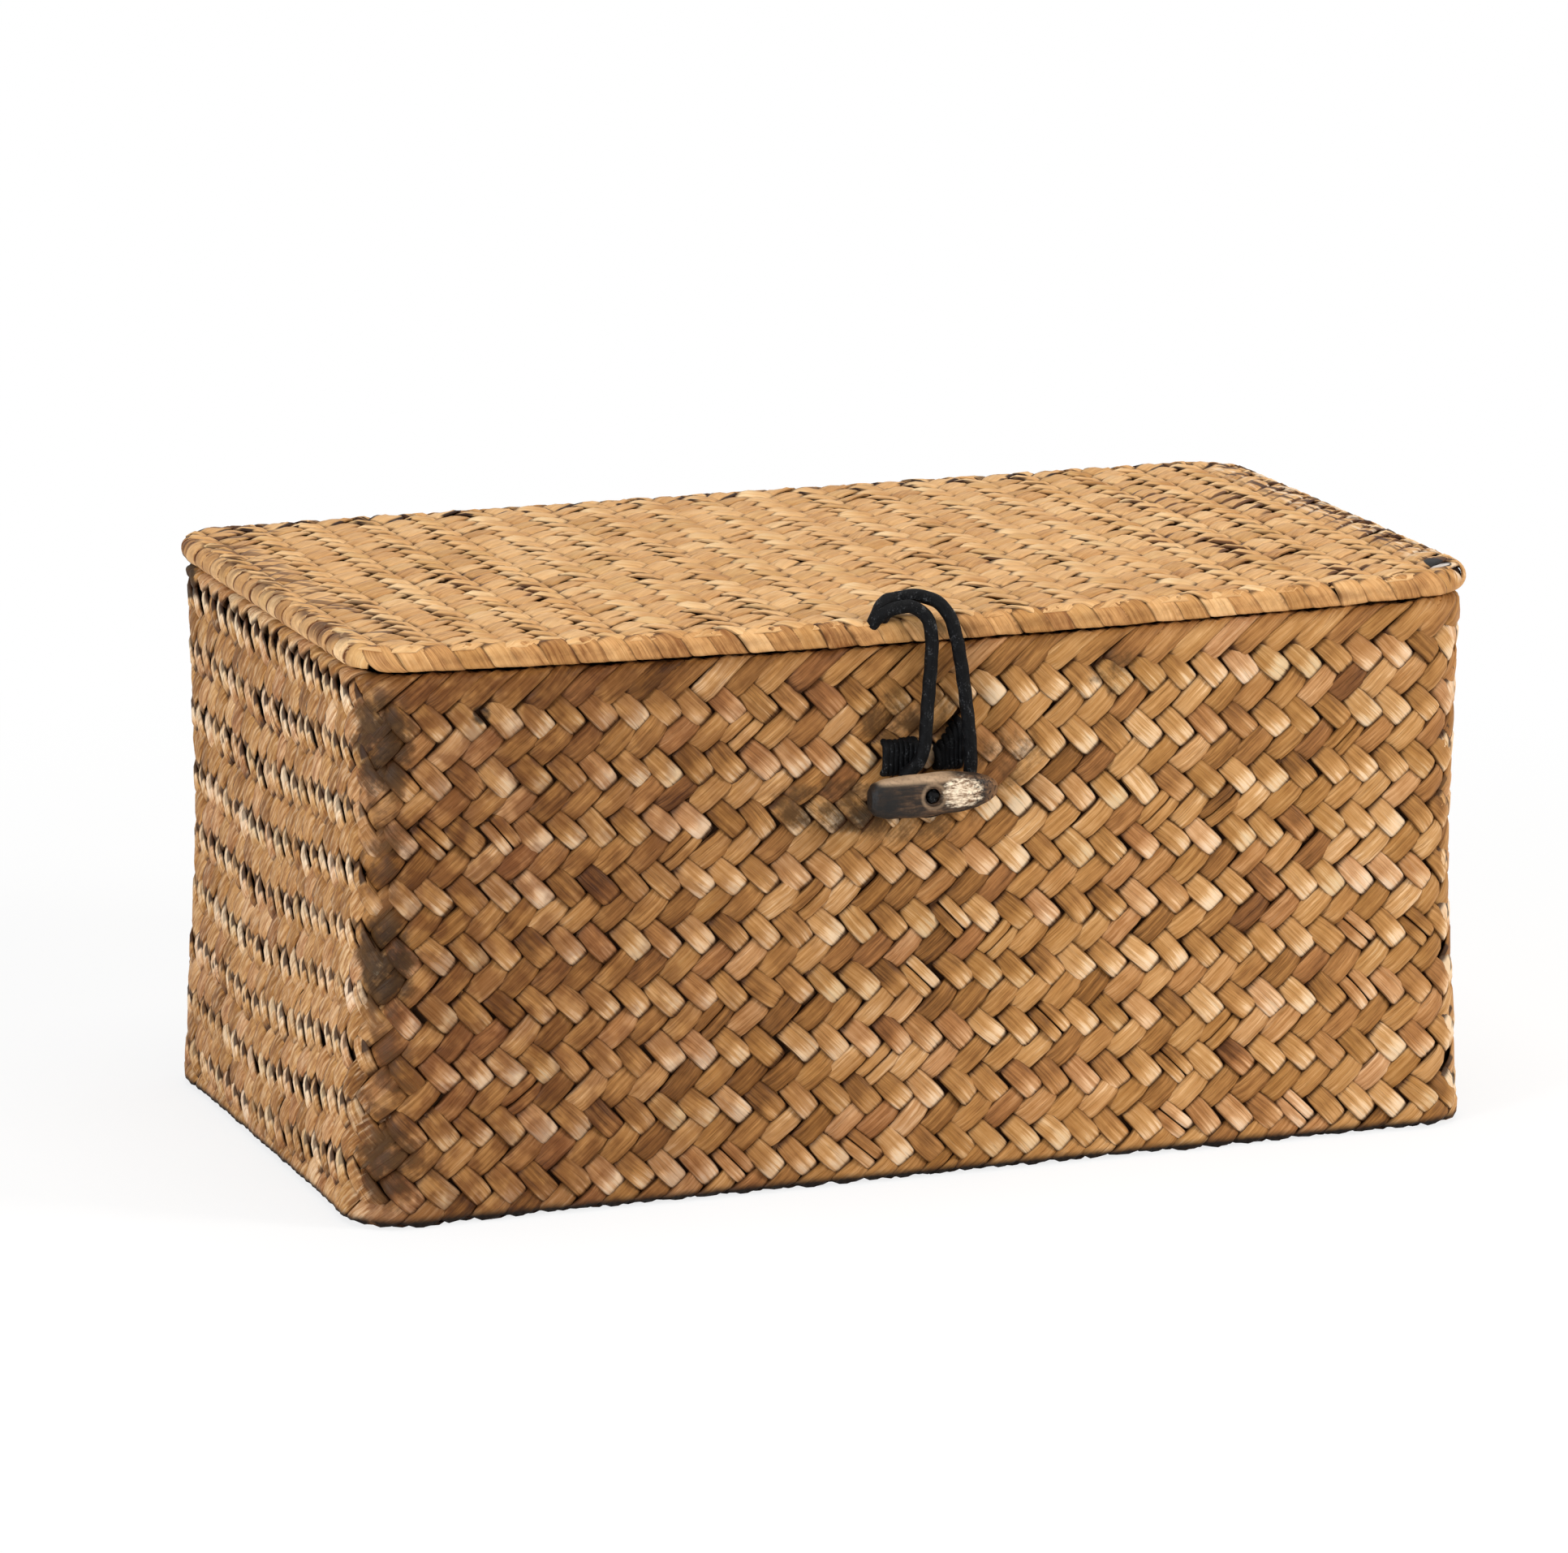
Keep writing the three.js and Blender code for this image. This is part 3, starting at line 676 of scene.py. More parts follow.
def over_rim(u, b, out):
    """Up the outer face, over the rolled rim and down the inner face; b is the height at first."""
    past = b - RIM_ROLL_Z
    angle = np.clip(past / RIM_ROLL_ARC, 0, 1) * np.pi
    down = np.maximum(0, past - RIM_ROLL_ARC)
    inset = WALL_THICKNESS / 2 - (RIM_ROLL_WIDTH + out) * np.cos(angle)
    rise = (RIM_ROLL_HEIGHT + out) * np.sin(angle)
    height = np.where(past < 0, b, RIM_ROLL_Z + rise - down)
    return beside_rim(u, wall_offset(height) - inset, height)


BORDER_INSET = BORDER_RADIUS - LID_OVERHANG
BORDER_Z = (LID_BOTTOM + LID_TOP) / 2


BORDER_CREST = BORDER_RADIUS * math.pi / 2


def round_border(u, b, out, last=np.inf):
    """Round the lid's rolled border from its outermost line at 0, and level inwards from last on."""
    angle = np.minimum(b, last) / BORDER_RADIUS
    radius = BORDER_RADIUS + out
    inwards = np.maximum(0, b - last)
    return beside_rim(u, radius * np.cos(angle) - BORDER_INSET - inwards, BORDER_Z + radius * np.sin(angle))


def over_border(u, b, out):
    """Round the lid's border up to its crest, and on over the mat."""
    return round_border(u, b, out, BORDER_CREST)


# Width at a plate's edge over which it is lifted, and a length too small to see
LIFT_WIDTH = 6 * MM
TINY = 1e-9


class Plate:
    """A level face with rounded corners, lifted at its edge and bent down over its outermost roll.

    Turned lays the weave's rows along Y.
    """

    def __init__(self, z, facing, low, high, corner, turned=False, roll=0.0, lift=0.0):
        self.roll = roll
        self.lift = lift
        self.z = z
        self.facing = facing
        self.low = low
        self.high = high
        self.corner = corner
        self.turned = turned

    def past(self, x, y):
        """How far a point is from the inner rectangle, which the corners' arcs are centred on."""
        inner_x = np.clip(x, self.low[0] + self.corner, self.high[0] - self.corner)
        inner_y = np.clip(y, self.low[1] + self.corner, self.high[1] - self.corner)
        return inner_x, inner_y, np.hypot(x - inner_x, y - inner_y)

    def turn(self, u, b):
        return (b, u) if self.turned else (u, b)

    def __call__(self, u, b, out):
        """Points past the edges are drawn in to them."""
        x, y = self.turn(u, b)
        inner_x, inner_y, reach = self.past(x, y)
        share = np.minimum(1, self.corner / np.maximum(reach, TINY))
        reach = np.minimum(reach, self.corner)
        over = np.clip(reach - (self.corner - self.roll), 0, self.roll) / BORDER_RADIUS
        upright = np.sqrt(1 - over**2)
        near = np.clip((reach - self.corner + self.roll) / LIFT_WIDTH + 1, 0, 1)
        share = share * (1 + over * out / np.maximum(reach, TINY))
        x = inner_x + (x - inner_x) * share
        y = inner_y + (y - inner_y) * share
        z = self.z + self.facing * (out * upright - BORDER_RADIUS * (1 - upright)) + self.lift * near**2
        return pressed(xyz(x, y, z - sag(x, y, z)))

    def strips(self, seed, row_share=1.0, pitch_share=1.0, spare=0.6 * MM):
        """Strips whose middles lie on the face; the shares are of the walls' row height and pitch."""
        settings = weave_settings()
        rise = settings.spacing / math.cos(settings.angle) * row_share
        pitch = settings.spacing / math.sin(settings.angle) * pitch_share
        angle = math.atan2(rise, pitch)
        weave = Weave(rise * math.cos(angle), angle, settings.thickness, seed)
        reach_u, reach_b = self.turn(*[max(abs(a), abs(b)) for a, b in zip(self.low, self.high)])
        rows = int(reach_b / weave.cell / 2) + 1
        count = 2 * int(reach_u / pitch + 1)
        strips = weave.rows(-rows, rows, -count / 2 * pitch, pitch, count)
        wander(strips, weave.rng, 0.4 * MM)
        reach = self.past(*self.turn(strips["u"], strips["b"]))[2]
        return pick(strips, reach < self.corner + spare)


# Strips

# Shares of a strip's half width and half thickness, round its section
SECTION_SHARES = [
    (1.0, -0.3),
    (0.9, 0.56),
    (0.5, 1.0),
    (-0.5, 1.0),
    (-0.9, 0.56),
    (-1.0, -0.3),
    (-0.6, -1.0),
    (0.6, -1.0),
]


# How far from its end a strip starts to darken with painted shade, where it tucks under
END_REACH = 5.1 * MM


def deselect_all():
    for item in list(bpy.context.selected_objects):
        item.select_set(False)


def read_mesh(item):
    """A mesh's points, and its faces as flat lists of corners and of face sizes."""
    mesh = item.data
    points = np.zeros(len(mesh.vertices) * 3)
    mesh.vertices.foreach_get("co", points)
    corners = np.zeros(len(mesh.loops), np.int64)
    mesh.loops.foreach_get("vertex_index", corners)
    sizes = np.zeros(len(mesh.polygons), np.int64)
    mesh.polygons.foreach_get("loop_total", sizes)
    return points.reshape(-1, 3), corners, sizes


def ribbed_bar(sides, cuts):
    """A round bar of radius 1 and length 2 along Z, with its long edges cut crosswise."""
    deselect_all()
    bpy.ops.mesh.primitive_cylinder_add(vertices=sides, radius=1, depth=2)
    bar = bpy.context.object
    bpy.ops.object.mode_set(mode="EDIT")
    bpy.ops.mesh.select_all(action="DESELECT")
    work = bmesh.from_edit_mesh(bar.data)
    for edge in work.edges:
        edge.select = abs(edge.verts[0].co.z - edge.verts[1].co.z) > 1
    bmesh.update_edit_mesh(bar.data)
    bpy.ops.mesh.subdivide(number_cuts=cuts)
    bpy.ops.object.mode_set(mode="OBJECT")
    return bar


def model_strip(rows):
    """One strip along X with rows of points: a round bar, flattened to a strip's section."""
    sides = len(SECTION_SHARES)
    bar = ribbed_bar(sides, rows - 2)
    points, corners, sizes = read_mesh(bar)
    bpy.data.objects.remove(bar)
    side = np.round(np.arctan2(points[:, 1], points[:, 0]) / (2 * np.pi / sides)).astype(int) % sides
    across, out = np.array(SECTION_SHARES)[side].T
    return {"along": points[:, 2], "across": across, "out": out, "corners": corners, "sizes": sizes}


def skin(rows, around, closed):
    """Four-sided faces over rings of points, and flat ends unless it runs round to its start."""
    corners = []
    for row in range(rows if closed else rows - 1):
        here, there = row * around, (row + 1) % rows * around
        for i in range(around):
            j = (i + 1) % around
            corners += (here + i, here + j, there + j, there + i)
    sizes = [4] * (len(corners) // 4)
    if not closed:
        corners += list(range(around))[::-1] + [(rows - 1) * around + i for i in range(around)]
        sizes += [around, around]
    return np.array(corners), np.array(sizes)


def new_mesh(name, points, corners, sizes, marks):
    """A smooth mesh object from flat lists, with one number a point for each mark."""
    mesh = bpy.data.meshes.new(name)
    mesh.vertices.add(len(points))
    mesh.vertices.foreach_set("co", points.astype(np.float32).ravel())
    mesh.loops.add(len(corners))
    mesh.loops.foreach_set("vertex_index", corners.astype(np.int32))
    mesh.polygons.add(len(sizes))
    starts = np.concatenate([[0], np.cumsum(sizes)[:-1]])
    mesh.polygons.foreach_set("loop_start", starts.astype(np.int32))
    mesh.polygons.foreach_set("use_smooth", np.ones(len(sizes), bool))
    for mark, values in marks.items():
        layer = mesh.attributes.new(mark, "FLOAT", "POINT")
        layer.data.foreach_set("value", values.astype(np.float32).ravel())
    mesh.update(calc_edges=True)
    mesh.validate()
    item = bpy.data.objects.new(name, mesh)
    bpy.context.scene.collection.objects.link(item)
    return item


def faces_turn_inwards(surface, u, b):
    """Whether u, b and out make a left-handed set on a surface."""
    step = 0.1 * MM
    probe = np.array([[u, b, 0], [u + step, b, 0], [u, b + step, 0], [u, b, step]], float)
    points = surface(probe[:, 0], probe[:, 1], probe[:, 2])
    return np.linalg.det(points[1:] - points[0]) < 0


def lay_strips(name, surface, strips, bar):
    """Lays one copy of the bar for each row of strips on a surface, all in one mesh."""
    s = {key: value[:, None] for key, value in strips.items()}
    along = bar["along"][None] * s["half_length"]
    narrow = 1 - s["taper"] * bar["along"][None] ** 2
    across = bar["across"][None] * s["half_width"] * narrow
    bend = np.clip((np.abs(along) - s["level"]) / s["dive"], 0, 1)
    lift = s["thickness"] * (0.5 * np.cos(np.pi * bend) - 1 + 0.5 * bar["out"][None])
    lift = lift + s["rise"] + s["tilt"] * across + s["slope"] * along
    bow = s["bow"] * (1 - bar["along"][None] ** 2)
    cosine, sine = np.cos(s["angle"]), np.sin(s["angle"])
    sideways = across + bow
    u = s["u"] + along * cosine - sideways * sine
    b = s["b"] + along * sine + sideways * cosine
    points = surface(u, b, lift).reshape(-1, 3)
    count, each = u.shape
    corners = bar["corners"]
    sizes = bar["sizes"]
    if faces_turn_inwards(surface, strips["u"][0], strips["b"][0]):
        ends = np.cumsum(sizes)
        corners = np.concatenate([corners[end - size:end][::-1] for end, size in zip(ends, sizes)])
    all_corners = (corners[None] + each * np.arange(count)[:, None]).ravel()
    same = np.ones((1, each))
    # edge and end carry the painted shade along a strip's edges and tucked ends, glow its painted highlight,
    # and slit the painted shade in slits
    marks = {
        "tone": s["tone"] * same,
        "warmth": s["warmth"] * same,
        "along_mm": along / MM,
        "across_mm": across / MM,
        "edge": np.abs(bar["across"][None]) * s["seam"],
        "end": np.clip(1 - (s["half_length"] - np.abs(along)) / END_REACH, 0, 1) * s["seam"],
        "glow": pale_part(s["glow"], bar["along"][None]),
        "slit": s["slit"] * same,
    }
    return new_mesh(name, points, all_corners, np.tile(sizes, count), marks)


def pale_part(glow, along):
    """How much painted highlight a strip takes along its length: towards its end, or for a glow below 0 from
    its start.
    """
    towards_end = np.clip((along + 0.15) / 0.65, 0, 1)
    from_start = np.clip((0.55 - along) / 0.5, 0, 1)
    return np.maximum(glow, 0) * towards_end + np.maximum(-glow, 0) * from_start


def drift(rng, u, b, reach, spread, around=None):
    """A slow random wander over a surface, which closes on itself when u runs around."""
    total = np.zeros_like(u)
    for _ in range(8):
        turns = 2 * np.pi / spread * rng.uniform(-1, 1)
        if around:
            turns = 2 * np.pi / around * np.round(turns * around / (2 * np.pi))
        climb = 2 * np.pi / spread * rng.uniform(-1, 1)
        total += np.sin(turns * u + climb * b + rng.uniform(0, 2 * np.pi))
    return total * reach / 3


class Weave:
    """Twill, over two and under two: rows of slanting strips, alternately / and \\."""

    def __init__(self, spacing, angle, thickness, seed):
        self.spacing = spacing
        self.angle = angle
        self.thickness = thickness
        self.cell = spacing / (2 * math.cos(angle))
        self.rng = np.random.default_rng(seed)

    def rows(self, first, last, start, pitch, count, base=0.0):
        """Strips of the rows from first to last, each with that many strips from start on."""
        row, place = np.meshgrid(np.arange(first, last + 1), np.arange(count), indexing="ij")
        row, place = row.ravel(), place.ravel()
        leans_left = (row % 2).astype(bool)
        u = start + (place + np.where(leans_left, 0.75, 0.25)) * pitch
        b = base + (2 * row + 0.5) * self.cell
        return self.dress(u, b, np.where(leans_left, -self.angle, self.angle), leans_left)

    def dress(self, u, b, angle, leans_left):
        """Gives each strip its own size, tilt and tone."""
        rng = self.rng
        count = len(u)
        full = np.ones(count)
        level = np.where(leans_left, 0.5, 0.72) * self.spacing
        dive = full * 0.62 * self.spacing
        wider = np.where(leans_left, 0.0, 0.1)
        return {
            "u": u + rng.normal(0, 0.2 * MM, count),
            "b": b + rng.normal(0, 0.16 * MM, count),
            "angle": angle + rng.normal(0, math.radians(2.4), count),
            "half_length": level + dive,
            "half_width": self.spacing * 0.5 * (rng.uniform(0.94, 1.1, count) + wider),
            "taper": rng.uniform(0.02, 0.14, count),
            "level": level,
            "dive": dive,
            "thickness": full * self.thickness,
            "rise": rng.normal(0, 0.07 * MM, count) + np.where(leans_left, 0.12, -0.08) * MM,
            "tilt": rng.normal(0, 0.08, count),
            "slope": rng.normal(0, 0.02, count) + np.where(leans_left, 0.05, 0.0),
            "bow": rng.normal(0, 0.12 * MM, count),
            "tone": np.clip(np.where(leans_left, 0.43, 0.41) + rng.normal(0, 0.13, count), 0.05, 0.95),
            "warmth": rng.uniform(0, 1, count),
            # Painted highlight towards the ends of the strips that lean left, and faintly on the others
            "glow": np.where(leans_left, rng.uniform(0.4, 1.0, count), rng.uniform(0, 0.12, count)),
            "seam": full,
            "slit": full * 0,
        }


def set_all(strips, **values):
    """Gives all the strips one value of each kind named."""
    for kind, value in values.items():
        strips[kind] = np.full(len(strips["u"]), value)


def scale(strips, **shares):
    for kind, share in shares.items():
        strips[kind] = strips[kind] * share


def shift(strips, **steps):
    for kind, step in steps.items():
        strips[kind] = strips[kind] + step


def wander(strips, rng, reach):
    """Lets the strips drift slowly along their rows, and the rows up and down by that reach."""
    shift(strips, u=drift(rng, strips["u"], strips["b"], 0.5 * MM, 60 * MM))
    shift(strips, b=drift(rng, strips["u"], strips["b"], reach, 70 * MM))


def pick(strips, keep):
    return {key: value[keep] for key, value in strips.items()}


def together(*sets):
    return {key: np.concatenate([part[key] for part in sets]) for key in sets[0]}


def with_splits(strips, share, rng):
    """Splits some strips lengthwise into two narrow ones, as worn grass does."""
    chosen = rng.uniform(0, 1, len(strips["u"])) < share
    halves = []
    for side in (-1, 1):
        half = pick(strips, chosen)
        step = side * half["half_width"] * 0.52
        shift(half, u=-step * np.sin(half["angle"]), b=step * np.cos(half["angle"]))
        scale(half, half_width=0.5)
        half["tone"] = np.clip(half["tone"] + rng.normal(0, 0.08, chosen.sum()), 0.05, 0.98)
        shift(half, rise=rng.normal(0, 0.1 * MM, chosen.sum()))
        halves.append(half)
    return together(pick(strips, ~chosen), *halves)


def settle(item, body, finish, replaced=()):
    """Gives a piece its finish and its body, and hides the CAD nodes that it stands for."""
    item.data.materials.clear()
    item.data.materials.append(finishes()[finish])
    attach(item, body)
    if replaced:
        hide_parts(*replaced)
    return item


# Cords

# The loop's centreline in metres, as the model has it
LOOP_POINTS = [
    (-0.0073, -0.0624, 0.1124),
    (-0.0056, -0.0625, 0.1124),
    (-0.0039, -0.0629, 0.1117),
    (-0.0026, -0.0634, 0.1103),
    (-0.0019, -0.0638, 0.1082),
    (-0.0017, -0.0640, 0.1046),
    (-0.0021, -0.0640, 0.0980),
    (-0.0026, -0.0641, 0.0920),
    (-0.0030, -0.0642, 0.0866),
    (-0.0035, -0.0640, 0.0839),
    (-0.0042, -0.0636, 0.0823),
    (-0.0064, -0.0632, 0.0799),
    (-0.0071, -0.0630, 0.0775),
    (-0.0066, -0.0629, 0.0753),
    (-0.0053, -0.0629, 0.0737),
    (-0.0030, -0.0629, 0.0727),
    (0.0009, -0.0629, 0.0731),
    (0.0038, -0.0629, 0.0742),
    (0.0058, -0.0630, 0.0764),
    (0.0066, -0.0632, 0.0792),
    (0.0065, -0.0638, 0.0824),
    (0.0061, -0.0641, 0.0870),
    (0.0054, -0.0641, 0.0930),
    (0.0046, -0.0640, 0.0990),
    (0.0036, -0.0640, 0.1047),
    (0.0027, -0.0639, 0.1083),
    (0.0017, -0.0633, 0.1109),
    (0.0001, -0.0620, 0.1128),
    (-0.0020, -0.0607, 0.1137),
    (-0.0045, -0.0598, 0.1139),
    (-0.0073, -0.0594, 0.1135),
]


def smooth_path(points, steps, closed=False):
    """Points along a centripetal Catmull-Rom curve through the given ones."""
    knots = np.array(points, float)
    if closed:
        knots = np.vstack([knots[-1], knots, knots[:2]])
    else:
        knots = np.vstack([2 * knots[0] - knots[1], knots, 2 * knots[-1] - knots[-2]])
    path = []
    for before, start, end, after in zip(knots, knots[1:], knots[2:], knots[3:]):
        spans = ((before, start), (start, end), (end, after))
        gaps = [max(np.linalg.norm(q - p) ** 0.5, TINY) for p, q in spans]
        first = (start - before) / gaps[0] - (end - before) / (gaps[0] + gaps[1]) + (end - start) / gaps[1]
        last = (end - start) / gaps[1] - (after - start) / (gaps[1] + gaps[2]) + (after - end) / gaps[2]
        first, last = first * gaps[1], last * gaps[1]
        for t in np.arange(steps) / steps:
            square, cube = t * t, t * t * t
            bend = -3 * start + 3 * end - 2 * first - last
            twist = 2 * start - 2 * end + first + last
            path.append(start + first * t + bend * square + twist * cube)
    if not closed:
        path.append(knots[-2])
    return np.array(path)


def turns(count):
    """Even angles round a full turn."""
    return np.arange(count) / count * 2 * np.pi


# How far the three strands of a cord's lay stand out, as a share of its radius, and the length of a turn
LAY_SWELL = 0.035
LAY_LENGTH = 2.2 * MM
# A direction that no cord starts in
ASIDE = (0.31, 0.17, 0.93)
# A cord's end rounds off in two rings: their distances past it and their radii, as shares of the radius
DOME_REACH = (0.5, 0.32)
DOME_RADII = np.array([0.35, 0.8])


def tube(path, radius, sides=12, closed=False):
    """Points, corners, sizes and marks of a cord with a faint three-strand lay, and rounded ends."""
    path = np.array(path, float)
    radii = np.full(len(path), float(radius))
    ahead = np.roll(path, -1, axis=0) - np.roll(path, 1, axis=0)
    if not closed:
        ahead[0], ahead[-1] = path[1] - path[0], path[-1] - path[-2]
    ahead /= np.linalg.norm(ahead, axis=1, keepdims=True)
    normal = np.cross(ahead[0], ASIDE)
    normals = []
    for direction in ahead:
        normal = normal - direction * (normal @ direction)
        normal = normal / np.linalg.norm(normal)
        normals.append(normal)
    normals = np.array(normals)
    sideways = np.cross(ahead, normals)
    run = np.concatenate([[0], np.cumsum(np.linalg.norm(np.diff(path, axis=0), axis=1))])
    if not closed:
        first, last = ahead[0] * radii[0], ahead[-1] * radii[-1]
        before = [path[0] - first * reach for reach in DOME_REACH]
        after = [path[-1] + last * reach for reach in DOME_REACH[::-1]]
        path = np.vstack([*before, path, *after])
        radii = np.concatenate([radii[0] * DOME_RADII, radii, radii[-1] * DOME_RADII[::-1]])
        same = [0, 0, *range(len(run)), -1, -1]
        run, normals, sideways = run[same], normals[same], sideways[same]
    turn = turns(sides)
    swell = 1 + LAY_SWELL * np.cos(3 * (turn[None] - run[:, None] / LAY_LENGTH))
    ring = radii[:, None] * swell
    points = (
        path[:, None]
        + normals[:, None] * (ring * np.cos(turn)[None])[..., None]
        + sideways[:, None] * (ring * np.sin(turn)[None])[..., None]
    )
    marks = {"along_mm": np.repeat(run / MM, sides), "around": np.tile(turn / (2 * np.pi), len(path))}
    return points.reshape(-1, 3), *skin(len(path), sides, closed), marks


def cord_piece(name, tubes):
    """One object from several tubes."""
    points, corners, sizes, marks = zip(*tubes)
    starts = np.cumsum([0] + [len(part) for part in points])
    corners = [part + start for part, start in zip(corners, starts)]
    joined = {key: np.concatenate([part[key] for part in marks]) for key in marks[0]}
    return new_mesh(name, np.vstack(points), np.concatenate(corners), np.concatenate(sizes), joined)


def ball(middle, reach, turns=3):
    """A knot: a cord wound on itself in a small ball, as one tube's route."""
    share = np.linspace(0, 1, 15 * turns)
    polar = np.pi * (0.12 + 0.76 * share)
    angle = share * turns * 2 * np.pi
    x = np.sin(polar) * np.cos(angle) * reach[0]
    y = np.sin(polar) * np.sin(angle) * reach[1]
    z = np.cos(polar) * reach[2]
    return xyz(x, y, z) + np.array(middle)


# Settings that a user would change

class WeaveSettings(bpy.types.PropertyGroup):
    spacing: FloatProperty(
        name="Strip spacing",
        description="From one strip to the next",
        default=4.26 * MM,
        unit="LENGTH",
    )
    angle: FloatProperty(
        name="Strip angle",
        description="Slant of the strips from the rows",
        default=math.radians(40.8),
        subtype="ANGLE",
    )
    thickness: FloatProperty(
        name="Strip thickness",
        description="Of one flattened strip",
        default=1.4 * MM,
        unit="LENGTH",
    )
    pitches: IntProperty(
        name="Strips round the box",
        description="How many strips one row has",
        default=104,
        min=8,
    )
    shift: FloatProperty(
        name="Weave shift",
        description="Moves the weave along the walls",
        default=0.0,
        unit="LENGTH",
    )
    seed: IntProperty(name="Seed", description="Of the strips' small differences", default=7)


class CordSettings(bpy.types.PropertyGroup):
    loop_diameter: FloatProperty(
        name="Loop cord",
        description="Diameter of the closing loop's cord",
        default=2.6 * MM,
        unit="LENGTH",
    )
    hinge_diameter: FloatProperty(
        name="Hinge cord",
        description="Diameter of the hinge ties' cord",
        default=1.8 * MM,
        unit="LENGTH",
    )


class StageSettings(bpy.types.PropertyGroup):
    floor: FloatVectorProperty(
        name="Floor",
        description="Colour of the floor and background",
        default=(1, 1, 1, 1),
        size=4,
        subtype="COLOR",
    )


def weave_settings():
    return bpy.context.scene.woven_box_weave


# The short walls have more strips to a row, in rows of the same height
SHORT_WALL_SHARE = 1.15


def wall_weave(short=False):
    """A wall's weave, how far apart its strips are along the rim and how many go round it."""
    settings = weave_settings()
    count = round(settings.pitches * (SHORT_WALL_SHARE if short else 1))
    rise = settings.spacing / math.cos(settings.angle)
    angle = math.atan2(rise, RIM.length / count)
    weave = Weave(rise * math.cos(angle), angle, settings.thickness, settings.seed + int(short))
    return weave, RIM.length / count, count


# Operators

class WOVENBOX_OT_stage(bpy.types.Operator):
    """Camera, floor and soft studio light"""

    bl_idname = "woven_box.stage"
    bl_label = "Stage"

    def execute(self, context):
        make_camera()
        make_floor(context.scene.woven_box_stage.floor)
        make_lights()
        return {"FINISHED"}


# Camera, from the photograph's lines: angles in radians, and the place in metres
CAMERA_YAW = -0.36198109
CAMERA_PITCH = 0.22660851
CAMERA_ROLL = 0.00437910
CAMERA_PLACE = (-0.54104, -1.40986, 0.41370)
IMAGE_WIDTH_PX = 1932
FOCAL_PX = 9680.1
SENSOR_WIDTH = 36.0


def make_camera():
    yaw, pitch, roll = CAMERA_YAW, CAMERA_PITCH, CAMERA_ROLL
    ahead = Vector((-math.sin(yaw) * math.cos(pitch), math.cos(yaw) * math.cos(pitch), -math.sin(pitch)))
    right = ahead.cross(Vector((0, 0, 1))).normalized()
    down = ahead.cross(right)
    turned_right = right * math.cos(roll) - down * math.sin(roll)
    turned_down = right * math.sin(roll) + down * math.cos(roll)
    deselect_all()
    bpy.ops.object.camera_add()
    camera = bpy.context.object
    camera.name = "photo_camera"
    camera.data.sensor_width = SENSOR_WIDTH
    camera.data.lens = SENSOR_WIDTH * FOCAL_PX / IMAGE_WIDTH_PX
    camera.data.clip_start = 0.05
    camera.data.clip_end = 20
    axes = Matrix((turned_right, -turned_down, -ahead)).transposed().to_4x4()
    camera.matrix_world = Matrix.Translation(CAMERA_PLACE) @ axes
    bpy.context.scene.camera = camera


FLOOR_SIZE = 8.0
FLOOR_DROP = 0.05 * MM


def make_floor(colour):
    deselect_all()
    bpy.ops.mesh.primitive_plane_add(size=FLOOR_SIZE, location=(0, 0, -FLOOR_DROP))
    floor = bpy.context.object
    floor.name = "floor"
    floor.data.materials.append(floor_finish("floor_paper", list(colour)))


# Lamps: place, what it faces, size in metres, watts and colour
LAMPS = {
    "key_from_right": ((1.05, -0.75, 0.6), (0, 0, 0.05), 0.3, 11.0, (1.0, 0.96, 0.91)),
    "soft_top": ((0.0, -0.1, 1.3), (0, 0, 0.05), 0.8, 9.5, (1.0, 0.98, 0.95)),
    "rake_left": ((-1.15, -0.7, 0.28), (-0.11, 0, 0.05), 0.25, 13.5, (0.86, 0.92, 1.0)),
}

# Strength of the white world on the object; to the camera it is 1
WORLD_LIGHT = 0.22


def make_lights():
    for name, (place, target, size, watts, colour) in LAMPS.items():
        deselect_all()
        bpy.ops.object.light_add(type="AREA", location=place)
        lamp = bpy.context.object
        lamp.name = name
        lamp.data.size = size
        lamp.data.energy = watts
        lamp.data.color = colour
        facing = Vector(target) - Vector(place)
        lamp.rotation_euler = facing.to_track_quat("-Z", "Y").to_euler()
    world = bpy.data.worlds.new("studio")
    bpy.context.scene.world = world
    world.use_nodes = True
    nodes, links = world.node_tree.nodes, world.node_tree.links
    background = nodes["Background"]
    background.inputs["Color"].default_value = (1, 1, 1, 1)
    path = nodes.new("ShaderNodeLightPath")
    seen = nodes.new("ShaderNodeMath")
    seen.operation = "MAXIMUM"
    links.new(path.outputs["Is Camera Ray"], seen.inputs[0])
    links.new(path.outputs["Is Glossy Ray"], seen.inputs[1])
    strength = nodes.new("ShaderNodeMapRange")
    strength.inputs["To Min"].default_value = WORLD_LIGHT
    strength.inputs["To Max"].default_value = 1.0
    links.new(seen.outputs[0], strength.inputs["Value"])
    links.new(strength.outputs[0], background.inputs["Strength"])
    bpy.context.scene.view_settings.view_transform = "Standard"


class WOVENBOX_OT_closure_loop(bpy.types.Operator):
    """The black cord loop that hangs over the lid's edge and round behind the toggle"""

    bl_idname = "woven_box.closure_loop"
    bl_label = "Closure loop"

    def execute(self, context):
        diameter = context.scene.woven_box_cords.loop_diameter
        path = smooth_path(LOOP_POINTS, 8)
        loop = cord_piece("closing_loop", [tube(path, diameter / 2, sides=16)])
        settle(loop, "closure_loop", "cord", ["closure_loop"])
        return {"FINISHED"}


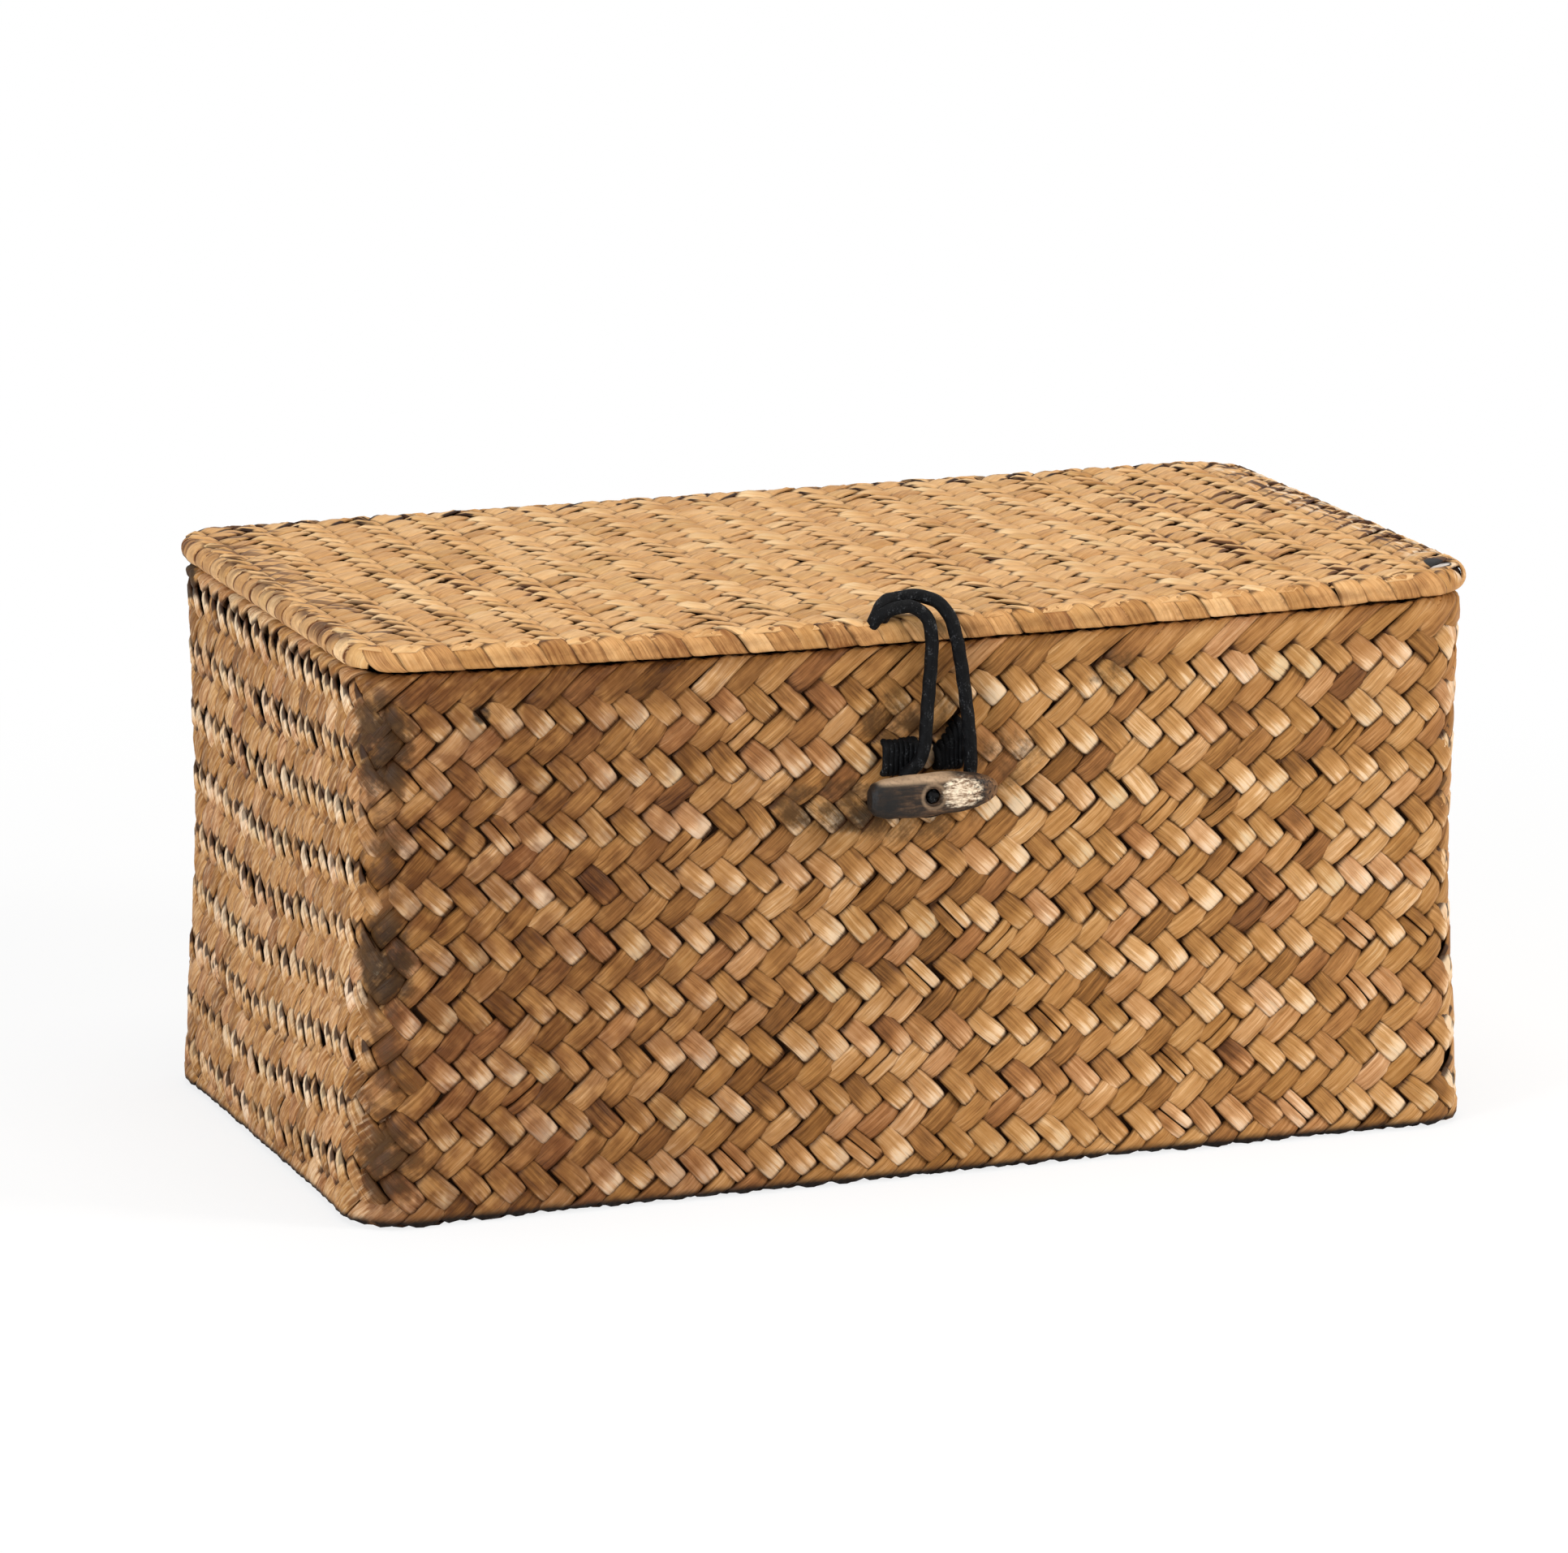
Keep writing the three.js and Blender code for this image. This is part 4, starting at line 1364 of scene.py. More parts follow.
# Routes of the loop's two ends over the border, and of their tail through it to the knot, in mm
FRONT_END = [
    (-7.6, -62.4, 112.4),
    (-9.2, -62.3, 112.0),
    (-10.8, -61.9, 111.2),
    (-12.0, -61.0, 109.9),
    (-12.5, -60.2, 108.3),
]
BACK_END = [
    (-7.6, -59.4, 113.5),
    (-9.1, -59.7, 113.3),
    (-10.7, -60.4, 112.4),
    (-11.9, -60.9, 110.4),
    (-12.4, -60.4, 108.6),
]
LOOP_TAIL = [(-10.2, -61.0, 110.8), (-10.2, -58.2, 107.9), (-10.2, -55.2, 104.9)]
KNOT_PLACE = (-10.2, -54.42, 104.12)
KNOT_REACH = 1.5 * MM
KNOT_STRAND_RADIUS = 0.8 * MM


class WOVENBOX_OT_loop_anchor(bpy.types.Operator):
    """The loop's two ends where they come out over the lid's border, and their knot under the lid"""

    bl_idname = "woven_box.loop_anchor"
    bl_label = "Loop anchor"

    def execute(self, context):
        radius = context.scene.woven_box_cords.loop_diameter / 2
        parts = []
        for route, scale in ((FRONT_END, 1.0), (BACK_END, 1.0), (LOOP_TAIL, 0.92)):
            path = smooth_path(np.array(route) * MM, 6)
            parts.append(tube(path, radius * scale, sides=14))
        knot = ball([place * MM for place in KNOT_PLACE], [KNOT_REACH] * 3)
        parts.append(tube(smooth_path(knot, 2), KNOT_STRAND_RADIUS, sides=8))
        anchor = cord_piece("loop_ends_and_knot", parts)
        settle(anchor, "lid", "cord", ["loop_anchor"])
        return {"FINISHED"}


class WOVENBOX_OT_hinge_ties(bpy.types.Operator):
    """Two cord rings that hinge the lid, sewn through its border and the rim"""

    bl_idname = "woven_box.hinge_ties"
    bl_label = "Hinge ties"

    def execute(self, context):
        radius = context.scene.woven_box_cords.hinge_diameter / 2
        for name in ("hinge_tie_left", "hinge_tie_right"):
            low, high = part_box(name)
            middle = (low + high) / 2
            reach = (high.z - low.z) / 2 - radius
            turn = turns(40)
            y, z = middle.y + reach * np.cos(turn), middle.z + reach * np.sin(turn)
            tie = cord_piece(name + "_cord", [tube(xyz(middle.x, y, z), radius, closed=True)])
            settle(tie, "box", "cord", [name])
        return {"FINISHED"}


TIE_RADIUS = 0.9 * MM
STITCH_RADIUS = 0.75 * MM


class WOVENBOX_OT_toggle_fastenings(bpy.types.Operator):
    """The cord through the toggle's eye, and the black stitch on the wall above it"""

    bl_idname = "woven_box.toggle_fastenings"
    bl_label = "Toggle tie and stitch"

    def execute(self, context):
        low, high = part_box("toggle_tie")
        x, z = (low.x + high.x) / 2, (low.z + high.z) / 2
        radius = TIE_RADIUS
        y = np.linspace(low.y + radius, high.y - 2 * MM, 12)
        stem = xyz(x, y, z)
        front = smooth_path(ball((x, low.y + radius, z), (0.8 * MM, 0.5 * MM, 0.8 * MM), 2), 2)
        back = smooth_path(ball((x, high.y - 1.6 * MM, z), (1.6 * MM, 0.8 * MM, 1.6 * MM)), 2)
        parts = [tube(stem, radius), tube(front, 0.6 * MM, sides=8), tube(back, 0.75 * MM, sides=8)]
        settle(cord_piece("toggle_tie_cord", parts), "box", "cord", ["toggle_tie"])
        settle(stitch_piece(), "box", "cord", ["toggle_stitch"])
        return {"FINISHED"}


def stitch_piece():
    """Short wraps of black cord round the front wall, a close block on the left and a stepped wedge on the
    right.
    """
    low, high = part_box("toggle_stitch")
    thick = STITCH_RADIUS
    front, back = low.y + thick, high.y - thick
    left, right = [], []
    for step in range(7):
        x = low.x + (0.6 + step * 1.0) * MM
        left.append((x, low.z - 1.4 * MM, high.z - 0.6 * MM, 0.1 * MM))
    for step in range(6):
        x = high.x - (0.8 + step * 0.9) * MM
        right.append((x, low.z - 1.0 * MM, high.z + (2.6 - step) * MM, -0.1 * MM))
    wraps = []
    for x, bottom, top, lean in left + right:
        route = [
            (x, front + 0.4 * MM, bottom),
            (x + lean * 0.5, front, (bottom + top) / 2),
            (x + lean, front + 0.4 * MM, top),
            (x + lean, back - 0.4 * MM, top),
            (x + lean * 0.5, back, (bottom + top) / 2),
            (x, back - 0.4 * MM, bottom),
        ]
        path = smooth_path(route, 6, closed=True)
        wraps.append(tube(path, thick, sides=10, closed=True))
    return cord_piece("toggle_stitch_cord", wraps)


# Shares of the toggle's length, and there of its height and thickness, as the model has them
TOGGLE_SHARES = [
    (0.0, 0.50, 0.45),
    (0.03, 0.76, 0.72),
    (0.12, 0.93, 0.92),
    (0.3, 1.0, 1.0),
    (0.52, 1.0, 1.0),
    (0.7, 0.95, 0.95),
    (0.84, 0.80, 0.82),
    (0.93, 0.60, 0.62),
    (0.985, 0.36, 0.36),
    (1.0, 0.20, 0.20),
]
TOGGLE_RISE = 0.5 * MM
TOGGLE_SIDES = 40
TOGGLE_CUTS = 60
# How square its section is, from 2 for round
TOGGLE_SQUARENESS = 2.6


class WOVENBOX_OT_toggle(bpy.types.Operator):
    """The horn crossbar with its drilled eye"""

    bl_idname = "woven_box.toggle"
    bl_label = "Toggle"

    def execute(self, context):
        bar = shape_bar()
        drill_eye(bar)
        bar.name = "toggle_bar"
        settle(bar, "toggle", "horn", ["toggle"])
        return {"FINISHED"}


def shape_bar():
    """A round bar along X, drawn to the toggle's stations, with a flat and a few worn hollows."""
    low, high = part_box("toggle")
    middle = (low + high) / 2
    length = high.x - low.x
    height = high.z - low.z - TOGGLE_RISE * 0.3
    thick = high.y - low.y
    bar = ribbed_bar(TOGGLE_SIDES, TOGGLE_CUTS)
    shares = np.array(TOGGLE_SHARES)
    points = np.array([v.co for v in bar.data.vertices])
    # rows crowd towards the ends, where the bar rounds off
    along = (1 - np.cos(np.pi * (points[:, 2] + 1) / 2)) / 2
    tall = np.interp(along, shares[:, 0], shares[:, 1]) * height / 2
    deep = np.interp(along, shares[:, 0], shares[:, 2]) * thick / 2
    angle = np.arctan2(points[:, 1], points[:, 0])
    cosine, sine = np.cos(angle), np.sin(angle)
    power = TOGGLE_SQUARENESS
    square = 1 / (np.abs(cosine) ** power + np.abs(sine) ** power) ** (1 / power)
    extra = 1 + 0.018 * np.sin(angle * 3 + along * 7) + 0.014 * np.sin(angle * 5 - along * 19)
    x = low.x + along * length
    y = middle.y + deep * cosine * square * extra * 0.98
    base = middle.z - TOGGLE_RISE * 0.35 + TOGGLE_RISE * along**2
    z = base + tall * sine * square * extra * 0.97
    bar.data.vertices.foreach_set("co", xyz(x, y, z).astype(np.float32).ravel())
    bar.data.update()
    return bar


EYE_DIAMETER = 3.0 * MM
EYE_RING_DIAMETER = 3.8 * MM
EYE_RING_DEPTH = 0.7 * MM


def drill_eye(bar):
    """Bores the eye through the bar, with a shallow wider ring at the front."""
    low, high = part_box("toggle")
    tie_low, tie_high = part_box("toggle_tie")
    x, z = (tie_low.x + tie_high.x) / 2, (tie_low.z + tie_high.z) / 2
    cutters = [(EYE_DIAMETER, (low.y + high.y) / 2, 0.03), (EYE_RING_DIAMETER, low.y, 2 * EYE_RING_DEPTH)]
    for diameter, y, depth in cutters:
        deselect_all()
        bpy.ops.mesh.primitive_cylinder_add(
            vertices=32, radius=diameter / 2, depth=depth, location=(x, y, z), rotation=(math.pi / 2, 0, 0)
        )
        cutter = bpy.context.object
        deselect_all()
        bpy.context.view_layer.objects.active = bar
        bar.select_set(True)
        bore = bar.modifiers.new("bore", "BOOLEAN")
        bore.operation = "DIFFERENCE"
        bore.solver = "EXACT"
        bore.object = cutter
        bpy.ops.object.modifier_apply(modifier=bore.name)
        bpy.data.objects.remove(cutter)
    bevel = bar.modifiers.new("soft_edges", "BEVEL")
    bevel.width = 0.12 * MM
    bevel.segments = 2
    bevel.limit_method = "ANGLE"
    bevel.angle_limit = math.radians(50)
    bpy.ops.object.modifier_apply(modifier=bevel.name)
    bpy.ops.object.shade_smooth_by_angle(angle=math.radians(40))


# Walls, base and lining

CORE_DEPTH = 1.35 * MM
LINING_CORE_DEPTH = 0.9 * MM
# Heights of the core's rings in mm, and those under the base and near the floor
CORE_HEIGHTS = (3.4, 6, 9, 16, 26, 36, 46, 55, 64, 74, 84, 94, 102.6)
CORE_UNDER = (-3.0, -1.2, 0.0, 1.5)
CORE_FLOOR = (4.4, 2.5)


class WOVENBOX_OT_wall_core(bpy.types.Operator):
    """The dark middle of the double walls and base, behind the strips"""

    bl_idname = "woven_box.wall_core"
    bl_label = "Wall core"

    def execute(self, context):
        inner_heights = (*CORE_HEIGHTS[:1:-1], *CORE_FLOOR)
        outer = [level_ring(outside_wall, b * MM, -CORE_DEPTH) for b in (*CORE_UNDER, *CORE_HEIGHTS)]
        inner = [level_ring(inside_wall, b * MM, -LINING_CORE_DEPTH) for b in inner_heights]
        core = rings_piece("wall_core", outer + inner)
        settle(core, "box", "core", ["outer_basket", "inner_lining"])
        return {"FINISHED"}


def ring_places(count=160):
    return np.arange(count) / count * RIM.length


def level_ring(surface, b, out):
    """Points round the box on a surface, at one place across it and one distance from it."""
    u = ring_places()
    return surface(u, np.full(len(u), b), np.full(len(u), out))


def rings_piece(name, rings, closed=False):
    """A skin over level rings with equal counts, with flat ends unless it runs round to its start."""
    return new_mesh(name, np.vstack(rings), *skin(len(rings), len(rings[0]), closed), {})


# How far the walls' strips run on past the corners
CORNER_OVERLAP = 1.5 * MM
# Rows of the walls' weave, counted from the base up; the rim's wraps take the next one
FIRST_WALL_ROW = -1
LAST_WALL_ROW = 17
# Share of the strips that are split
SPLIT_SHARE = 0.03
# The left wall's painted highlights on the pale ends are dimmer in front of this place, by this share
DIM_FRONT_Y = -53 * MM
DIM_SHARE = 0.3


class WOVENBOX_OT_walls(bpy.types.Operator):
    """The plaited outer walls, a piece for each side"""

    bl_idname = "woven_box.walls"
    bl_label = "Outer walls"

    def execute(self, context):
        bar = model_strip(8)
        for run, side in enumerate(RUNS):
            short = side in ("left", "right")
            weave, pitch, count = wall_weave(short)
            strips = weave.rows(FIRST_WALL_ROW, LAST_WALL_ROW, weave_settings().shift, pitch, count)
            start, end = RIM.run_ends(run)
            past = np.mod(strips["u"] - start + CORNER_OVERLAP, RIM.length)
            chosen = pick(strips, past < end - start + 2 * CORNER_OVERLAP)
            rng = weave.rng
            wander(chosen, rng, 0.25 * MM)
            if short:
                flatten(chosen, rng)
            else:
                set_as_tiles(chosen)
            if side == "left":
                y = RIM.at(chosen["u"])[1]
                shift(chosen, b=left_row_rise(y, chosen["b"]))
                scale(chosen, glow=np.where(y < DIM_FRONT_Y, DIM_SHARE, 1.0))
            chosen = with_splits(chosen, SPLIT_SHARE, rng)
            wall = lay_strips("wall_weave_" + side, outside_wall, chosen, bar)
            settle(wall, "box", "wall")
        return {"FINISHED"}


def set_as_tiles(strips):
    """Shapes the long walls' strips: those that lean left are steeper, wider, flat for longer and proud."""
    leans_left = strips["angle"] < 0
    scale(strips, level=np.where(leans_left, 1.2, 0.9), dive=np.where(leans_left, 0.85, 1.0))
    scale(strips, half_width=np.where(leans_left, 1.12, 1.0))
    shift(strips, angle=np.where(leans_left, -math.radians(5), 0.0))
    shift(strips, rise=np.where(leans_left, 0.05 * MM, 0.0))
    strips["half_length"] = strips["level"] + strips["dive"]
    strips["tone"] = np.minimum(strips["tone"], 0.6)


def flatten(strips, rng):
    """Lays the short walls' strips flatter, in smooth bands with dark slits of painted shade beside pale
    ends of painted highlight.
    """
    left = strips["angle"] < 0
    count = len(left)
    shift(strips, angle=rng.normal(0, math.radians(2.5), count))
    shift(strips, u=rng.normal(0, 0.3 * MM, count), b=rng.normal(0, 0.3 * MM, count))
    scale(strips, half_width=rng.uniform(0.9, 1.1, count), thickness=0.55, rise=0.6, tilt=0.4)
    strips["angle"][left] -= math.radians(12)
    strips["half_width"][left] *= 0.92
    strips["slope"][left] = -0.03
    strips["glow"][left] = -(0.5 + 0.5 * strips["glow"][left])
    strips["slit"][left] = rng.uniform(0.3, 1.2, left.sum())
    strips["half_width"][~left] *= 1.1
    strips["tone"][~left] = 0.45 + 0.7 * (strips["tone"][~left] - 0.41)
    strips["seam"][~left] = 0.86
    strips["slit"][~left] = -rng.uniform(0.3, 1.2, (~left).sum())


# The left wall's rows aren't level. Their rise in mm at places from the front to the back, the share of
# it at some heights, and how far the rows are from their even spacing at some heights
LEFT_RISE = ([-58, -47, -17, 8, 33, 58], [5.0, 4.5, 0.8, -1.2, 0.0, 1.5])
LEFT_RISE_SHARE = ([-5, 8, 20, 70, 92, 104], [0.0, 0.8, 1.0, 1.0, 0.2, 0.0])
LEFT_ROW_SHIFT = (
    [-6, 8, 20, 32, 44, 55, 66, 77, 87, 98],
    [0.0, -1.1, -2.1, -1.6, -2.1, -2.1, -1.6, 0.0, 1.9, 2.4],
)


def left_row_rise(y, b):
    """How far up a strip of the left wall moves from its even row."""
    level = b / MM
    rise = np.interp(y / MM, *LEFT_RISE) * np.interp(level, *LEFT_RISE_SHARE)
    return (rise + np.interp(level, *LEFT_ROW_SHIFT)) * MM


class WOVENBOX_OT_base(bpy.types.Operator):
    """The plaited underside"""

    bl_idname = "woven_box.base"
    bl_label = "Base"

    def execute(self, context):
        face = Plate(0.0, -1, *inside_rim(1.4 * MM))
        base = lay_strips("base_weave", face, face.strips(11), model_strip(8))
        settle(base, "box", "wall")
        return {"FINISHED"}


def centred(half_x, half_y):
    """The low and high corners of a rectangle round the middle."""
    return (-half_x, -half_y), (half_x, half_y)


def inside_rim(inset):
    """The low and high corners and the corner radius of the rim's outline, drawn in."""
    return *centred(HALF_LENGTH - inset, HALF_DEPTH - inset), CORNER_RADIUS - inset


LINING_THICKNESS_SHARE = 0.8


class WOVENBOX_OT_lining(bpy.types.Operator):
    """The plaited lining of the walls and floor"""

    bl_idname = "woven_box.lining"
    bl_label = "Lining"

    def execute(self, context):
        settings = weave_settings()
        thickness = settings.thickness * LINING_THICKNESS_SHARE
        weave = Weave(settings.spacing, settings.angle, thickness, settings.seed + 1)
        pitch = RIM.length / settings.pitches
        strips = weave.rows(1, 17, 0.0, pitch, settings.pitches)
        shift(strips, u=drift(weave.rng, strips["u"], strips["b"], 0.5 * MM, 60 * MM, RIM.length))
        bar = model_strip(7)
        walls = lay_strips("lining_weave_walls", inside_wall, strips, bar)
        settle(walls, "box", "lining")
        face = Plate(WALL_THICKNESS, 1, *inside_rim(2.6 * MM))
        floor_strips = face.strips(12)
        scale(floor_strips, thickness=LINING_THICKNESS_SHARE)
        floor = lay_strips("lining_weave_floor", face, floor_strips, bar)
        settle(floor, "box", "lining")
        return {"FINISHED"}


# Heights from which the rim's wraps start, on the left wall and elsewhere, and how far they run down inside
RIM_FROM_LEFT = 102.6 * MM
RIM_FROM = 98.9 * MM
RIM_DOWN_INSIDE = 5.6 * MM
RIM_CORE_WIDTH = 1.1 * MM
RIM_CORE_HEIGHT = 1.0 * MM
# How far from each end a rim wrap dives
RIM_DIVE = 2.7 * MM


class WOVENBOX_OT_rim(bpy.types.Operator):
    """The walls' strips, wrapped over the rim"""

    bl_idname = "woven_box.rim"
    bl_label = "Rim binding"

    def execute(self, context):
        weave, pitch, _ = wall_weave()
        settings = weave_settings()
        end = RIM_ROLL_Z + RIM_ROLL_ARC + RIM_DOWN_INSIDE
        first = (2 * (LAST_WALL_ROW + 1) + 0.5) * weave.cell
        place = np.arange(settings.pitches)
        slant = 1 / math.tan(weave.angle)
        along_rim = settings.shift + (place + 0.25) * pitch - first * slant
        on_left = RIM.run_of(along_rim + RIM_ROLL_Z * slant) == RUNS.index("left")
        start = np.where(on_left, RIM_FROM_LEFT, RIM_FROM)
        middle = (start + end) / 2
        u = along_rim + middle * slant
        count = len(u)
        wraps = weave.dress(u, middle, np.full(count, weave.angle), np.zeros(count, bool))
        half = (end - start) / 2 / math.sin(weave.angle)
        wraps["half_length"] = half
        wraps["level"] = half - RIM_DIVE
        set_all(wraps, dive=RIM_DIVE, slope=0.0, taper=0.0)
        shift(wraps, tone=np.where(on_left, 0.2, 0.0))
        wraps["tilt"] = weave.rng.normal(0, 0.04, count)
        wraps["rise"] = weave.rng.normal(0.12 * MM, 0.1 * MM, count)
        rim = lay_strips("rim_wraps", over_rim, wraps, model_strip(20))
        settle(rim, "box", "wall")
        rings = []
        for turn in turns(10):
            inset = WALL_THICKNESS / 2 - RIM_CORE_WIDTH * math.cos(turn)
            rings.append(level_ring(beside_rim, -inset, RIM_ROLL_Z + RIM_CORE_HEIGHT * math.sin(turn)))
        core = rings_piece("rim_core", rings, closed=True)
        settle(core, "box", "core", ["rim_binding"])
        return {"FINISHED"}


# Lid

# For each side: slant of the border's wraps in degrees, their pitch in mm, the share of it that a wrap
# covers, its thickness and rise in mm, and how far it runs on over the mat in mm
BORDER_RUNS = {
    "front": (118, 5.6, 1.12, 0.45, -0.16, 0.2),
    "right": (38, 5.2, 1.08, 0.8, -0.1, 0.5),
    "back": (125, 5.3, 0.9, 0.8, -0.1, 0.5),
    "left": (68, 5.2, 1.12, 0.4, -0.2, 0.2),
}
# How dark the painted shade in the seams between the wraps is, and the wraps' middle tone
BORDER_SEAMS = {"front": 1.04, "right": 1.0, "back": 1.1, "left": 0.95}
BORDER_TONES = {"front": 0.28, "right": 0.42, "back": 0.42, "left": 0.5}
# A worn gap in the border, just past the front right corner: where it starts and its width
BORDER_GAP_START = 2.5 * MM
BORDER_GAP_WIDTH = 5.0 * MM
# Where the wraps start, under the lid
BORDER_FROM = math.radians(-150) * BORDER_RADIUS
BORDER_CORE_DEPTH = 1.0 * MM
# Share of the wraps that cover at least this much of their pitch
BORDER_WIDE_SHARE = 0.2
BORDER_WIDE = 1.08


class WOVENBOX_OT_lid_border(bpy.types.Operator):
    """The lid's rolled border, wrapped slantwise"""

    bl_idname = "woven_box.lid_border"
    bl_label = "Lid border"

    def execute(self, context):
        settings = weave_settings()
        weave = Weave(settings.spacing, settings.angle, settings.thickness, settings.seed + 2)
        rng = weave.rng
        sets = []
        for run, side in enumerate(RUNS):
            degrees, pitch_mm, cover, thick, sink, run_on = BORDER_RUNS[side]
            slant = math.radians(degrees)
            start, end = RIM.run_ends(run)
            count = round((end - start) / (pitch_mm * MM))
            pitch = (end - start) / count
            border_to = BORDER_CREST + run_on * MM
            middle = (BORDER_FROM + border_to) / 2
            u = start + (np.arange(count) + 0.5) * pitch + middle / math.tan(slant)
            wraps = weave.dress(u, np.full(count, middle), np.full(count, slant), np.zeros(count, bool))
            half = (border_to - BORDER_FROM) / 2 / math.sin(slant)
            set_all(wraps, half_length=half, level=half - 2 * MM, dive=3 * MM, thickness=thick * MM)
            set_all(wraps, taper=0.0, slope=0.0, glow=0.0, seam=BORDER_SEAMS[side])
            wide = rng.uniform(0, 1, count) < BORDER_WIDE_SHARE
            widths = np.where(wide, max(cover, BORDER_WIDE), cover) * rng.uniform(0.95, 1.05, count)
            wraps["half_width"] = pitch / 2 * math.sin(slant) * widths
            wraps["tilt"] = rng.normal(0, 0.03, count)
            wraps["rise"] = rng.normal(sink * MM, 0.04 * MM, count)
            wraps["tone"] = np.clip(BORDER_TONES[side] + rng.normal(0, 0.13, count), 0.1, 0.95)
            if side == "right":
                past = u - start - BORDER_GAP_START
                wraps = pick(wraps, (past < 0) | (past > BORDER_GAP_WIDTH))
            sets.append(wraps)
        border = lay_strips("lid_border_wraps", over_border, together(*sets), model_strip(22))
        settle(border, "lid", "lid")
        rings = [level_ring(round_border, turn * BORDER_RADIUS, -BORDER_CORE_DEPTH) for turn in turns(12)]
        core = rings_piece("lid_border_core", rings, closed=True)
        settle(core, "lid", "core", ["lid_border"])
        return {"FINISHED"}


# Level of the dark middle of the lid, below the top mat where it hangs lowest
LID_CORE_TOP = 108.9 * MM
# The top mat's rows and strips, as shares of the walls'
LID_ROW_SHARE = 1.055
LID_PITCH_SHARE = 0.8
# Width over which the mat runs on down the border, past its crest, and how far its edge is lifted
MAT_ROLL = 2.1 * MM
MAT_LIFT = 0.25 * MM
# Distance from the lid's middle past which the strips that lean left are thicker and narrower
OPEN_WEAVE_FROM = 56 * MM
# How far the under mat and the core reach past the top mat
MAT_REACH = 1.6 * MM


class WOVENBOX_OT_lid_mats(bpy.types.Operator):
    """The lid's two plaited mats, with rows across the lid"""

    bl_idname = "woven_box.lid_mats"
    bl_label = "Lid mats"

    def execute(self, context):
        half_x, half_y = TOP_MAT[1].x + 0.3 * MM, TOP_MAT[1].y + 0.3 * MM
        face_rng = np.random.default_rng(weave_settings().seed + 3)
        past = MAT_ROLL - BORDER_INSET
        bar = model_strip(8)
        low, high = centred(HALF_LENGTH + past, HALF_DEPTH + past)
        corner = CORNER_RADIUS + past
        face = Plate(TOP_MAT[1].z, 1, low, high, corner, turned=True, roll=MAT_ROLL, lift=MAT_LIFT)
        strips = face.strips(21, LID_ROW_SHARE, LID_PITCH_SHARE)
        outer = (np.abs(strips["b"]) > OPEN_WEAVE_FROM) & (strips["angle"] < 0)
        scale(strips, thickness=np.where(outer, 0.8, 0.5), half_width=np.where(outer, 0.74, 1.02))
        scale(strips, rise=0.5, slope=0.4)
        shift(strips, angle=face_rng.normal(0, math.radians(2.5), len(strips["u"])))
        strips["tone"] = 0.5 + (strips["tone"] - 0.45) * 0.7
        top = lay_strips("lid_top_weave", face, strips, bar)
        settle(top, "lid", "lid")
        corner = CORNER_RADIUS - (HALF_LENGTH - half_x) + MAT_REACH
        low, high = centred(half_x + MAT_REACH, half_y + MAT_REACH)
        face = Plate(UNDER_MAT[0].z, -1, low, high, corner, turned=True)
        strips = face.strips(22)
        scale(strips, thickness=0.7)
        under = lay_strips("lid_under_weave", face, strips, bar)
        settle(under, "lid", "lining")
        x, y, dx, dy = RIM.at(ring_places())
        inset = HALF_LENGTH - half_x - MAT_REACH
        x, y = x - dx * inset, y - dy * inset
        heights = (UNDER_MAT[0].z + LINING_CORE_DEPTH, LID_CORE_TOP)
        rings = [xyz(x, y, z) for z in heights]
        core = rings_piece("lid_core", rings)
        settle(core, "lid", "lid_core", ["lid_top_mat", "lid_under_mat"])
        return {"FINISHED"}


_finishes = {}


